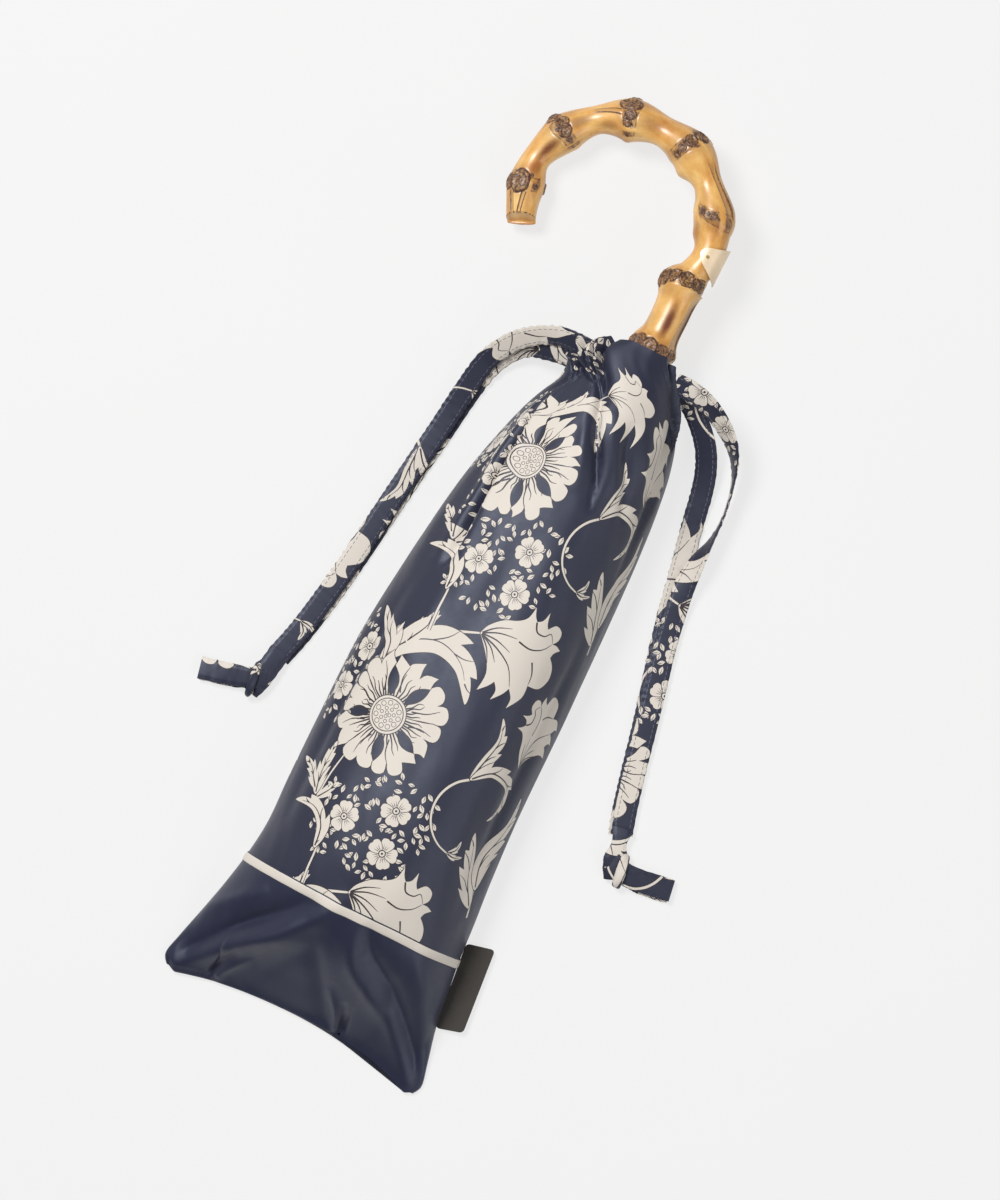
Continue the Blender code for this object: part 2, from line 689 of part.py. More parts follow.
def drawstrings():
    """Two strands on each side, knotted together at the end with a short tail."""
    strand("tie_left_upper", LEFT_UPPER)
    strand("tie_left_lower", LEFT_LOWER)
    strand("tie_right_outer", RIGHT_OUTER)
    strand("tie_right_inner", RIGHT_INNER)
    place = Matrix.Translation((0.0, 0.0, KNOT_Z * MM))
    add_part("tie_left_knot", flat_outline("tie_left_knot", LEFT_KNOT, KNOT_THICKNESS),
             "print_fabric", place)
    add_part("tie_right_knot", flat_outline("tie_right_knot", RIGHT_KNOT, KNOT_THICKNESS),
             "print_fabric", place)


def main():
    clear_scene()
    make_collection(COLLECTION)
    make_collection(CUTTER_COLLECTION)
    handle = bamboo_handle()
    inner_tube = handle_fittings(handle)
    handle_plate(handle)
    shaft(inner_tube)
    runner_and_crown()
    folded_ribs()
    canopy_and_tip()
    closing_strap()
    pouch()
    drawstrings()


main()
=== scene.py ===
"""The looks of a folding umbrella in its drawstring pouch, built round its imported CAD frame.

Shapes are worked out in millimetres and turned into metres by MM. The frame is part.py's: the shaft
runs along +Y, +Z is up and the pouch lies on z = 0.
"""

import math
import random

import bpy
import mathutils
import numpy as np
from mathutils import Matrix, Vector


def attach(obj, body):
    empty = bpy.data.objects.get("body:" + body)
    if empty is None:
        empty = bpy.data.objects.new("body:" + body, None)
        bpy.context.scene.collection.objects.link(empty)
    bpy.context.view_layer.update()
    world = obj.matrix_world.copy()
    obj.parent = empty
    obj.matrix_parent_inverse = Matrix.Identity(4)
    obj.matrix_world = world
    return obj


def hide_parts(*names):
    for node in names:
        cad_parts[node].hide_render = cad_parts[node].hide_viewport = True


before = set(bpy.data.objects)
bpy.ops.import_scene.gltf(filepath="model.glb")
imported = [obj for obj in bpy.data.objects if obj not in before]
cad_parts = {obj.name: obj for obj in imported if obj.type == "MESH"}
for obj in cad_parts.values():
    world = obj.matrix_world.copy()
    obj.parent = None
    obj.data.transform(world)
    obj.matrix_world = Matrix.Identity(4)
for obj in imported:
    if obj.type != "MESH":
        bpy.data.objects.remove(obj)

MM = 0.001
SEED = 3
SHAFT_Z = 22.5
CROOK_TILT = math.radians(10.0)  # the crook leans over until its tip lies on the surface
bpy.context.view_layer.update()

# ------------------------------------------------------------------- materials
NAVY_RGB = (0.0160, 0.0175, 0.0375)
CREAM_RGB = (0.66, 0.61, 0.545)
INK_RGB = (0.030, 0.020, 0.020)
THREAD_RGB = (0.12, 0.12, 0.15)
HEM_RGB = (0.0125, 0.0148, 0.0375)
LABEL_RGB = (0.050, 0.044, 0.036)
# painted shade: navy on the piping's flanks, where they dip into the seams
SEAM_SHADE_RGB = (0.02, 0.022, 0.04)
SCORCH_RGB = (0.16, 0.045, 0.018)
# the bamboo's tones, as stops of colour ramps
HONEY = (
    (0.28, (0.50, 0.21, 0.055)), (0.43, (0.68, 0.35, 0.095)), (0.57, (0.78, 0.47, 0.155)),
    (0.76, (0.86, 0.60, 0.27)),
)
FIBRE_TONES = ((0.25, (0.86, 0.80, 0.70)), (0.6, (1.0, 1.0, 1.0)))
BARK = ((0.36, (0.022, 0.011, 0.010)), (0.50, (0.085, 0.036, 0.020)), (0.66, (0.36, 0.17, 0.07)))
WAVE_SCALE = 314.0  # scale of a wave texture whose bands are a millimetre apart


def new_material(name):
    """A node material, its Principled shader, and functions that add nodes to it and link them."""
    material = bpy.data.materials.new(name)
    material.use_nodes = True
    tree = material.node_tree
    shader = tree.nodes["Principled BSDF"]

    def add(kind, settings=None, **links):
        node = tree.nodes.new("ShaderNode" + kind)
        for key, value in (settings or {}).items():
            if hasattr(node, key):
                setattr(node, key, value)
            else:
                node.inputs[key].default_value = value
        for key, source in links.items():
            tree.links.new(source, node.inputs[key.replace("_", " ")])
        return node

    return material, shader, add, tree.links.new


def ramp(add, factor, stops):
    """A colour ramp of (position, colour) stops."""
    node = add("ValToRGB", Fac=factor)
    elements = node.color_ramp.elements
    while len(elements) < len(stops):
        elements.new(0.5)
    for element, (position, colour) in zip(elements, stops):
        element.position = position
        element.color = (*colour, 1.0)
    return node.outputs["Color"]


def set_inputs(node, values):
    """Sets unlinked inputs of a node by name."""
    for key, value in values.items():
        node.inputs[key].default_value = value


def noise(add, place, scale, detail, roughness=0.5):
    settings = {"Scale": scale, "Detail": detail, "Roughness": roughness}
    return add("TexNoise", settings, Vector=place).outputs["Fac"]


def scaled_sum(add, link, first, factor, second):
    """first * factor + second."""
    node = add("Math", {"operation": "MULTIPLY_ADD"})
    link(first, node.inputs[0])
    node.inputs[1].default_value = factor
    link(second, node.inputs[2])
    return node.outputs[0]


def mapped(add, value, ends):
    """The value mapped from one range to another."""
    return add("MapRange", ends, Value=value).outputs["Result"]


def mixed(add, link, factor, first, second, blend="MIX"):
    """Two colours mixed. Each value is a constant or a node's output."""
    node = add("Mix", {"data_type": "RGBA", "blend_type": blend})
    for place, value in ((0, factor), (6, first), (7, second)):
        if isinstance(value, bpy.types.NodeSocket):
            link(value, node.inputs[place])
        else:
            node.inputs[place].default_value = value
    return node.outputs[2]


def add_grain(shader, add, link, grain, relief, gloss, strength, distance):
    """Roughness that runs between the two ends of gloss with the grain, and a bump from the relief."""
    link(mapped(add, grain, {"To Min": gloss[0], "To Max": gloss[1]}), shader.inputs["Roughness"])
    surface = add("Bump", {"Strength": strength, "Distance": distance}, Height=relief)
    link(surface.outputs["Normal"], shader.inputs["Normal"])


def cloth_material(name, colour, roughness=0.50, thread=0.36, sheen=0.12, bump=0.12):
    """Plain-woven cloth: fine threads both ways, soft slubs and a slight sheen.

    The colour stays one value, so that the printed shapes keep crisp edges. thread is the pitch of
    the weave in millimetres.
    """
    material, shader, add, link = new_material(name)
    place = add("TexCoord").outputs["Object"]
    weave = add("Math", {"operation": "MAXIMUM"})
    for index, way in enumerate("XY"):
        settings = {"bands_direction": way, "Scale": WAVE_SCALE / thread, "Distortion": 0.3}
        link(add("TexWave", settings, Vector=place).outputs["Fac"], weave.inputs[index])
    slub = noise(add, place, 420.0, 4.0, 0.6)
    relief = scaled_sum(add, link, weave.outputs[0], 0.35, slub)
    add_grain(shader, add, link, slub, relief, (roughness - 0.06, roughness + 0.08), bump, 0.0002)
    set_inputs(shader, {
        "Base Color": (*colour, 1.0), "Sheen Weight": sheen, "Sheen Roughness": 0.45,
        "Specular IOR Level": 0.62, "Specular Tint": (0.78, 0.84, 1.0, 1.0),
    })
    return material


def metal_material(name, colour, roughness, metallic=1.0):
    """Drawn or plated metal with fine scratches and slightly uneven tone."""
    material, shader, add, link = new_material(name)
    place = add("TexCoord").outputs["Object"]
    stretch = add("Mapping", {"Scale": (1.0, 0.06, 1.0)}, Vector=place)
    fine = noise(add, stretch.outputs[0], 700.0, 5.0)
    dark = tuple(c * 0.82 for c in colour)
    tone = ramp(add, noise(add, place, 60.0, 3.0), ((0.3, dark), (0.7, colour)))
    link(tone, shader.inputs["Base Color"])
    add_grain(shader, add, link, fine, fine, (roughness - 0.08, roughness + 0.12), 0.12, 0.00005)
    set_inputs(shader, {"Metallic": metallic})
    return material


def plastic_material(name, colour, roughness=0.42):
    """Moulded plastic with a fine spark-eroded grain."""
    material, shader, add, link = new_material(name)
    place = add("TexCoord").outputs["Object"]
    grain = noise(add, place, 1600.0, 3.0)
    light = tuple(c * 1.5 + 0.004 for c in colour)
    tone = ramp(add, noise(add, place, 90.0, 2.0), ((0.3, colour), (0.8, light)))
    link(tone, shader.inputs["Base Color"])
    add_grain(shader, add, link, grain, grain, (roughness - 0.06, roughness + 0.1), 0.15, 0.00006)
    return material


def bamboo_material():
    """Lacquered bamboo root. The mesh's own layers say where it is scarred and scorched."""
    material, shader, add, link = new_material("bamboo")
    grain = add("Attribute", {"attribute_name": "grain"}).outputs["Vector"]
    scar = add("Attribute", {"attribute_name": "scar"}).outputs["Fac"]
    scorch = add("Attribute", {"attribute_name": "scorch"}).outputs["Fac"]
    along = add("Mapping", {"Scale": (1.0, 14.0, 1.0)}, Vector=grain).outputs[0]
    fibre = noise(add, along, 0.16, 6.0, 0.62)
    broad = add("Mapping", {"Scale": (0.7, 1.6, 1.0)}, Vector=grain).outputs[0]
    honey = ramp(add, noise(add, broad, 0.085, 4.0, 0.6), HONEY)
    speck = noise(add, grain, 1.1, 4.0, 0.7)
    wood = mixed(add, link, 0.75, honey, ramp(add, fibre, FIBRE_TONES), "MULTIPLY")
    burn = mapped(add, scaled_sum(add, link, speck, 0.30, scorch), {"From Min": 0.20, "From Max": 1.10})
    brown = mixed(add, link, burn, wood, (*SCORCH_RGB, 1.0))
    dark = mapped(add, scaled_sum(add, link, speck, 0.5, scar), {"From Min": 0.36, "From Max": 0.80})
    link(mixed(add, link, dark, brown, ramp(add, speck, BARK)), shader.inputs["Base Color"])
    link(mapped(add, dark, {"To Min": 0.34, "To Max": 0.55}), shader.inputs["Roughness"])
    fine = add("Bump", {"Strength": 0.10, "Distance": 0.0002}, Height=fibre).outputs["Normal"]
    rugged = add("Bump", {"Distance": 0.0004}, Height=speck, Strength=scar, Normal=fine)
    link(rugged.outputs["Normal"], shader.inputs["Normal"])
    set_inputs(shader, {"Coat Weight": 0.30, "Coat Roughness": 0.26})
    return material


MATERIALS = {
    "print_navy": cloth_material("print_navy", NAVY_RGB),
    "print_cream": cloth_material("print_cream", CREAM_RGB, 0.66),
    "print_ink": cloth_material("print_ink", INK_RGB),
    "hem_navy": cloth_material("hem_navy", HEM_RGB, 0.47),
    "piping_cream": cloth_material("piping_cream", CREAM_RGB, 0.60),
    "label_cloth": cloth_material("label_cloth", LABEL_RGB, 0.9, 0.8, 0.0, 0.6),
    # the material called thread is painted shade, for the piping's flanks in the seams
    "thread": cloth_material("thread", SEAM_SHADE_RGB, 0.6, 0.2),
    "stitch": cloth_material("stitch", THREAD_RGB, 0.6, 0.2),
    "bamboo": bamboo_material(),
    "gold": metal_material("pale_gold", (0.88, 0.71, 0.50), 0.42, 0.30),
    "brass": metal_material("brass", (0.60, 0.44, 0.17), 0.35, 0.8),
    "steel": metal_material("plated_steel", (0.60, 0.61, 0.63), 0.34),
    "black_plastic": plastic_material("black_plastic", (0.018, 0.018, 0.02)),
}
PRINT_MATERIALS = ("print_navy", "print_cream", "print_ink", "stitch")


# ---------------------------------------------------------------------- meshes
def link_object(name, data):
    """A new object with this data, in the scene."""
    thing = bpy.data.objects.new(name, data)
    bpy.context.scene.collection.objects.link(thing)
    return thing


def make_piece(name, vertices, faces, materials, body, normals=None, colours=None):
    """A mesh piece from points in millimetres, riding on a body."""
    mesh = bpy.data.meshes.new(name)
    mesh.from_pydata([tuple(v) for v in np.asarray(vertices) * MM], [], faces)
    for material in materials:
        mesh.materials.append(MATERIALS[material])
    if colours is not None:
        mesh.polygons.foreach_set("material_index", colours)
    mesh.shade_smooth()
    if normals is not None:
        mesh.normals_split_custom_set_from_vertices([tuple(n) for n in normals])
    piece = link_object(name, mesh)
    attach(piece, body)
    return piece


def printed_piece(name, laid, body):
    """A piece of printed cloth from what laid_cloth gives."""
    points, triangles, colours, normals = laid
    return make_piece(
        name, points, triangles, PRINT_MATERIALS, body, normals, colours
    )


def grid_faces(rows, columns, closed=False):
    """Quads of a grid of points. A closed grid joins its last column to its first."""
    faces = []
    for j in range(rows - 1):
        for i in range(columns - (0 if closed else 1)):
            k = (i + 1) % columns
            faces.append((j * columns + i, j * columns + k, (j + 1) * columns + k, (j + 1) * columns + i))
    return faces


def unit(vectors):
    return vectors / np.maximum(np.linalg.norm(vectors, axis=-1, keepdims=True), 1e-9)


def smoothstep(low, high, value):
    t = np.clip((value - low) / (high - low), 0.0, 1.0)
    return t * t * (3 - 2 * t)


def peak(value, centre, width):
    """A bell of height 1."""
    return np.exp(-(((value - centre) / width) ** 2))


class Surface:
    """A cloth surface held as a regular grid over its flat coordinates s (across) and t (along)."""

    def __init__(self, s, t, points):
        self.s, self.t, self.points = s, t, points
        across = np.gradient(points, s, axis=1)
        along = np.gradient(points, t, axis=0)
        self.normals = unit(np.cross(across, along))

    def _mixed(self, grid, s, t):
        i = np.clip(np.interp(s, self.s, np.arange(len(self.s))), 0, len(self.s) - 1.0001)
        j = np.clip(np.interp(t, self.t, np.arange(len(self.t))), 0, len(self.t) - 1.0001)
        i0, j0 = i.astype(int), j.astype(int)
        u, v = (i - i0)[:, None], (j - j0)[:, None]
        lower = grid[j0, i0] * (1 - u) + grid[j0, i0 + 1] * u
        upper = grid[j0 + 1, i0] * (1 - u) + grid[j0 + 1, i0 + 1] * u
        return lower * (1 - v) + upper * v

    def at(self, s, t):
        return self._mixed(self.points, s, t)

    def normal(self, s, t):
        return unit(self._mixed(self.normals, s, t))


# ---------------------------------------------------------------- floral print
NAVY, CREAM, INK, STITCH = 0, 1, 2, 3
REPEAT = 121.4  # length of the print's repeat along the pouch
PRINT_STRETCH = 1.15  # how much wider the print is on flat cloth than in the pouch's plan
CDT_EPSILON = 1e-5  # points of a triangulation closer than this are one
BIG_RADIUS = 27.5
BIG_PETALS = 8
PETAL_VEINS = 5
PLAIN_SIDE = 0.88  # share of a feather's width that its plain side has
SEED_RINGS = ((0.63, 11, 0.115), (0.35, 7, 0.075), (0.12, 3, 0.07))  # place, number and size of seeds
SMALL_PETAL = (
    (0.10, 0.0), (0.45, 0.36), (0.86, 0.42), (1.0, 0.14), (0.95, -0.02), (1.0, -0.20), (0.82, -0.44),
    (0.45, -0.36),
)
# the small leaves: tries, most pairs, nearest and farthest to a flower, gap between pairs, and how far
# their box reaches past the flowers
SCATTER_TRIES = 1600
SCATTER_PAIRS = 58
SCATTER_NEAR = 8.7
SCATTER_FAR = 17.0
SCATTER_GAP = 4.4
SCATTER_LOW = (-14, -13)
SCATTER_HIGH = (13, 14)


def turn_point(point, angle, centre=(0.0, 0.0), scale=1.0):
    """The point turned and scaled about the origin, then moved to centre."""
    c, s = math.cos(angle) * scale, math.sin(angle) * scale
    return (centre[0] + point[0] * c - point[1] * s, centre[1] + point[0] * s + point[1] * c)


def placed(points, centre, angle, scale=1.0):
    return [turn_point(p, angle, centre, scale) for p in points]


def smooth_line(points, steps, closed=False):
    """Points on a Catmull-Rom curve through the given ones, steps to each span."""
    count = len(points)
    spans = count if closed else count - 1
    path = []
    for i in range(spans):
        if closed:
            p0, p1, p2, p3 = (points[(i + k) % count] for k in (-1, 0, 1, 2))
        else:
            p0, p1 = points[max(i - 1, 0)], points[i]
            p2, p3 = points[i + 1], points[min(i + 2, count - 1)]
        for step in range(steps):
            t = step / steps
            path.append(tuple(
                0.5 * (2 * b + (c - a) * t + (2 * a - 5 * b + 4 * c - d) * t * t
                       + (3 * b - a - 3 * c + d) * t**3)
                for a, b, c, d in zip(p0, p1, p2, p3)
            ))
    if not closed:
        path.append(tuple(points[-1]))
    return path


def run_along(points):
    """The length along a line up to each of its points."""
    return np.concatenate(([0.0], np.cumsum(np.linalg.norm(np.diff(points, axis=0), axis=1))))


def line_frame(points):
    """Unit vectors ahead along a flat line and to its left, at each of its points."""
    ahead = unit(np.gradient(points, axis=0))
    return ahead, np.column_stack((-ahead[:, 1], ahead[:, 0]))


def anticlockwise(points):
    """The outline as an array, turned round if it runs clockwise."""
    p = np.asarray(points, float)
    q = np.roll(p, -1, axis=0)
    area = 0.5 * float(np.sum(p[:, 0] * q[:, 1] - q[:, 0] * p[:, 1]))
    return p[::-1] if area < 0 else p


def grown(points, by):
    """The outline moved outwards by this distance."""
    p = anticlockwise(points)
    ahead = unit(np.roll(p, -1, axis=0) - p)
    normal = np.column_stack((ahead[:, 1], -ahead[:, 0]))
    mean = normal + np.roll(normal, 1, axis=0)
    length = np.maximum(np.linalg.norm(mean, axis=1, keepdims=True), 0.8)
    return [tuple(v) for v in p + mean / length * by]


def stroke(points, width, taper):
    """A thin tapering shape along the points, as an outline."""
    p = np.asarray(points, float)
    _, normal = line_frame(p)
    t = np.linspace(0.0, 1.0, len(p))[:, None]
    half = 0.5 * width * (1.0 - taper * t**1.5) + 0.02
    return [tuple(v) for v in np.vstack((p + normal * half, (p - normal * half)[::-1]))]


class Print:
    """Shapes of the print in painter's order, in the flat cloth's own millimetres."""

    def __init__(self):
        self.ground = []  # small leaves, which lie under everything else
        self.shapes = []

    def layers(self):
        return self.ground + self.shapes

    def shape(self, points, line):
        """A cream shape with an ink line of this width round it."""
        self.shapes.append((grown(points, line), INK))
        self.shapes.append((list(points), CREAM))

    def line(self, points, width, taper=1.0):
        self.shapes.append((stroke(points, width, taper), INK))

    def dot(self, centre, *rings):
        """Discs on each other, as (radius, sides, colour)."""
        for radius, sides, colour in rings:
            self.shapes.append((circle(radius, centre, sides), colour))


def circle(radius, centre, sides):
    angles = [2 * math.pi * i / sides for i in range(sides)]
    return [(centre[0] + radius * math.cos(a), centre[1] + radius * math.sin(a)) for a in angles]


def leaf_outline(length, width, steps):
    """An almond with pointed ends, from the origin along +X."""
    up = [(length * i / steps, 0.5 * width * math.sin(math.pi * i / steps)) for i in range(steps)]
    down = [(x, -y) for x, y in up[1:]]
    return up + [(length, 0.0)] + down[::-1]


def small_leaf(cloth, centre, angle, length):
    cloth.shape(placed(leaf_outline(length, length * 0.52, 4), centre, angle), 0.26)
    cloth.line(placed([(0.5, 0.1), (length * 0.45, 0.22), (length * 0.78, 0.0)], centre, angle), 0.3)


def cornered(arcs, steps):
    """An outline of smooth arcs that meet in corners."""
    return [point for arc in arcs for point in smooth_line(arc, steps)[:-1]]


def petal_outline(disc, outer, half, lobes, open_sides, rng):
    """A petal round the flower's centre, centred on +X, as polar arcs: its sides and its lobes.

    open_sides says of each side whether it is drawn in, which leaves an almond of ground there.
    """
    shoulder = disc + 0.70 * (outer - disc)

    def side(sign, drawn_in):
        line = []
        for step in range(6):
            share = step / 5
            narrow = 0.46 * math.sin(math.pi * share**0.8) if drawn_in else 0.06 * math.sin(3 * share)
            reach = disc * 0.94 + share * (shoulder - disc * 0.94)
            line.append(polar(reach, sign * half * (0.98 - narrow)))
        return line

    lower, upper = side(-1, open_sides[0]), side(1, open_sides[1])
    arcs = [lower]
    edges = [-1.0 + 2.0 * k / lobes for k in range(lobes + 1)]
    place = lower[-1]
    for k in range(lobes):
        middle = 0.5 * (edges[k] + edges[k + 1])
        reach = outer * (1.0 - 0.14 * middle * middle) * rng.uniform(0.96, 1.03)
        pointed = rng.random() < 0.22
        last = k == lobes - 1
        end = upper[-1] if last else polar(reach * rng.uniform(0.78, 0.86), half * edges[k + 1])
        width = edges[k + 1] - edges[k]
        if pointed:
            lean = middle + 0.22 * width * (1 if middle >= 0 else -1)
            crest = polar(reach * 1.03, half * lean)
            arcs.append([place, polar(reach * 0.93, half * (middle - 0.26 * width)), crest])
            arcs.append([crest, polar(reach * 0.92, half * (middle + 0.34 * width)), end])
        else:
            arcs.append([
                place, polar(reach * 0.94, half * (middle - 0.40 * width)),
                polar(reach, half * (middle - 0.08 * width)),
                polar(reach * 0.97, half * (middle + 0.34 * width)), end,
            ])
        place = end
    arcs.append(upper[::-1])
    return cornered(arcs, 3)


def polar(reach, angle):
    return reach * math.cos(angle), reach * math.sin(angle)


def petal_veins(cloth, centre, angle, disc, outer, half, rng):
    """Wavy ink lines that run out from the disc along a petal."""
    for v in range(PETAL_VEINS):
        lean = half * (2 * (v + 0.5) / PETAL_VEINS - 1) * 0.86
        reach = disc + (outer - disc) * rng.uniform(0.30, 0.62)
        sway = rng.uniform(-0.05, 0.05)
        path = [
            polar(disc * 1.04, lean * 0.92), polar(disc + 0.4 * (reach - disc), lean + sway),
            polar(disc + 0.75 * (reach - disc), lean * 1.02 - 0.4 * sway), polar(reach, lean * 0.92 + sway),
        ]
        cloth.line(placed(smooth_line(path, 3), centre, angle), 0.66, 0.75)
    sweep = rng.choice((-1, 1)) * half
    path = [
        polar(disc * 1.3, 0.15 * sweep), polar(0.62 * outer, 0.42 * sweep),
        polar(0.83 * outer, 0.30 * sweep),
    ]
    cloth.line(placed(smooth_line(path, 4), centre, angle), 0.6, 0.75)


def big_blossom(cloth, centre, seed, turned):
    """A many-petalled flower with wide, lobed and veined petals round a seed disc."""
    rng = random.Random(seed)
    disc = BIG_RADIUS * 0.295
    spans = [rng.uniform(0.86, 1.16) for _ in range(BIG_PETALS)]
    gaps = [k % 5 in (1, 2, 4) for k in range(BIG_PETALS)]
    start = turned
    for k, span in enumerate(spans):
        width = 2 * math.pi * span / sum(spans)
        angle, start = start + 0.5 * width, start + width
        reach = BIG_RADIUS * rng.uniform(0.92, 1.05)
        half = 0.5 * width * 1.03
        sides = gaps[k], gaps[(k + 1) % BIG_PETALS]
        outline = petal_outline(disc, reach, half, 3 if span > 0.94 else 2, sides, rng)
        cloth.shape(placed(outline, centre, angle), 0.36)
        petal_veins(cloth, centre, angle, disc, reach, half, rng)
    cloth.shape(circle(disc, centre, 28), 0.4)
    cloth.dot(centre, (disc * 0.88, 26, INK), (disc * 0.83, 26, CREAM))
    for ring, count, size in SEED_RINGS:
        for i in range(count):
            spot = turn_point((ring * disc, 0.0), 2 * math.pi * i / count + ring, centre)
            cloth.dot(spot, (size * disc + 0.24, 9, INK), (size * disc, 8, CREAM))


def small_blossom(cloth, centre, turned, radius=6.6):
    """A five-petalled flower."""
    petal = smooth_line([(x * radius, y * radius) for x, y in SMALL_PETAL], 3, closed=True)
    for k in range(5):
        angle = turned + 2 * math.pi * k / 5
        cloth.shape(placed(petal, centre, angle), 0.28)
        for lean in (-0.16, 0.0, 0.16):
            vein = [(0.30 * radius, lean * radius * 0.5), (0.62 * radius, lean * radius * 1.2)]
            cloth.line(placed(vein, centre, angle), 0.3)
    cloth.dot(
        centre, (0.26 * radius, 12, INK), (0.19 * radius, 10, CREAM), (0.08 * radius, 8, INK)
    )


def feather(cloth, spine, width, lobes, side_bias=0.0):
    """A lobed leaf along a curved spine, its pointed lobes hooked towards the tip.

    side_bias makes its left side the wider one, or its right side if it is negative, and the other
    side then has a plain edge.
    """
    p = np.asarray(smooth_line(spine, 14), float)
    ahead, normal = line_frame(p)
    run = run_along(p)
    t = run / run[-1]
    body = np.sin(math.pi * np.clip(t, 0, 1) ** 0.72) ** 0.8 * (1.0 - 0.2 * t)
    saw = (t * lobes) % 1.0
    hook = (0.42 * width * saw**1.5 * body)[:, None] * ahead
    sides = []
    for sign in (1, -1):
        lobed = sign * side_bias >= 0 or abs(side_bias) < 0.05
        edge = 0.50 + 0.62 * saw**0.75 if lobed else PLAIN_SIDE
        reach = 0.5 * width * (1 + sign * side_bias) * body * edge + 0.10
        sides.append((sign, reach, lobed, p + normal * (sign * reach)[:, None] + hook * lobed))
    cloth.shape([tuple(v) for v in np.vstack((sides[0][3], sides[1][3][::-1]))], 0.36)
    cloth.line([tuple(v) for v in p[2:int(len(p) * 0.85)]], 0.66, 0.8)
    for k in range(lobes):
        i = min(int(len(p) * (k + 0.22) / lobes), len(p) - 2)
        for sign, reach, lobed, _ in sides:
            if reach[i] < 1.2 or not lobed:
                continue
            bend = p[i] + normal[i] * sign * reach[i] * 0.35 + ahead[i] * reach[i] * 1.0
            tip = p[i] + normal[i] * sign * reach[i] * 0.9 + ahead[i] * reach[i] * 1.7
            cloth.line(smooth_line([tuple(p[i]), tuple(bend), tuple(tip)], 3), 0.58, 0.8)


def stem(cloth, spine, width):
    path = smooth_line(spine, 6)
    cloth.shapes.append((stroke(path, width + 0.6, 0.35), INK))
    cloth.shapes.append((stroke(path, width, 0.45), CREAM))


TULIP = (
    ((0.0, 0.0), (2.2, 4.0), (7.5, 8.2), (13.5, 10.2), (17.2, 13.0), (18.8, 18.2)),
    ((18.8, 18.2), (19.8, 14.8), (21.2, 12.6)),
    ((21.2, 12.6), (23.6, 14.0), (25.2, 18.0)),
    ((25.2, 18.0), (25.8, 13.6), (27.0, 11.2)),
    ((27.0, 11.2), (30.4, 13.8), (34.0, 12.0), (34.2, 8.4), (31.8, 6.0)),
    ((31.8, 6.0), (34.4, 5.8), (37.0, 4.4)),
    ((37.0, 4.4), (34.4, 2.6), (33.4, 0.4)),
    ((33.4, 0.4), (36.8, -3.6), (37.6, -9.0), (33.8, -13.6), (27.6, -13.8)),
    ((27.6, -13.8), (27.0, -19.4), (22.0, -25.6)),
    ((22.0, -25.6), (22.4, -21.4), (20.2, -17.6)),
    ((20.2, -17.6), (18.2, -20.8), (14.4, -24.6)),
    ((14.4, -24.6), (15.2, -20.4), (13.4, -17.0)),
    ((13.4, -17.0), (11.4, -19.6), (7.6, -22.8)),
    ((7.6, -22.8), (8.8, -15.0), (5.8, -7.8), (0.0, 0.0)),
)
TULIP_VEINS = (
    ((0.8, 0.4), (6.0, 4.2), (12.5, 6.2)), ((0.8, 0.2), (8.0, 2.6), (16.0, 3.0)),
    ((0.8, 0.0), (8.0, -0.6), (15.0, -3.4)), ((0.8, -0.2), (6.5, -4.0), (10.5, -9.5)),
    ((0.8, -0.3), (9.0, -3.6), (16.4, -9.0), (20.0, -16.8)), ((1.0, -0.6), (5.0, -5.0), (7.6, -11.0)),
    ((21.2, 12.4), (22.8, 8.6), (26.6, 8.0), (29.4, 9.8), (31.7, 6.2)),
    ((17.0, 2.2), (22.6, 0.8), (28.0, 2.4), (31.7, 5.9)), ((25.6, -4.0), (27.6, -9.0), (27.6, -13.6)),
)


def tulip(cloth, base, angle, scale=1.0, slim=1.0):
    """A bell-shaped flower seen from the side, opening along +X from its base."""
    bell = cornered([[(x, y * slim) for x, y in arc] for arc in TULIP], 4)
    cloth.shape(placed(bell, base, angle, scale), 0.36)
    for vein in TULIP_VEINS:
        points = placed([(x, y * slim) for x, y in vein], base, angle, scale)
        cloth.line(smooth_line(points, 4), 0.72, 0.8)


def leaf_scatter(cloth, spots, seed):
    """Small leaves in pairs, kept clear of the flowers at these spots but near them."""
    rng = random.Random(seed)
    taken = list(spots)
    xs, ys = zip(*spots)
    low = min(xs) + SCATTER_LOW[0], min(ys) + SCATTER_LOW[1]
    high = max(xs) + SCATTER_HIGH[0], max(ys) + SCATTER_HIGH[1]
    leaves = Print()
    for _ in range(SCATTER_TRIES):
        if len(taken) - len(spots) >= SCATTER_PAIRS:
            break
        spot = rng.uniform(low[0], high[0]), rng.uniform(low[1], high[1])
        near_flower = min(math.dist(spot, s) for s in spots)
        near_leaf = min(math.dist(spot, s) for s in taken)
        if not SCATTER_NEAR <= near_flower <= SCATTER_FAR or near_leaf < SCATTER_GAP:
            continue
        taken.append(spot)
        angle = rng.uniform(0, 2 * math.pi)
        small_leaf(leaves, spot, angle, rng.uniform(3.1, 3.9))
        small_leaf(leaves, turn_point((0.2, -1.5), angle, spot), angle - 0.95, rng.uniform(2.9, 3.6))
    cloth.ground += leaves.shapes


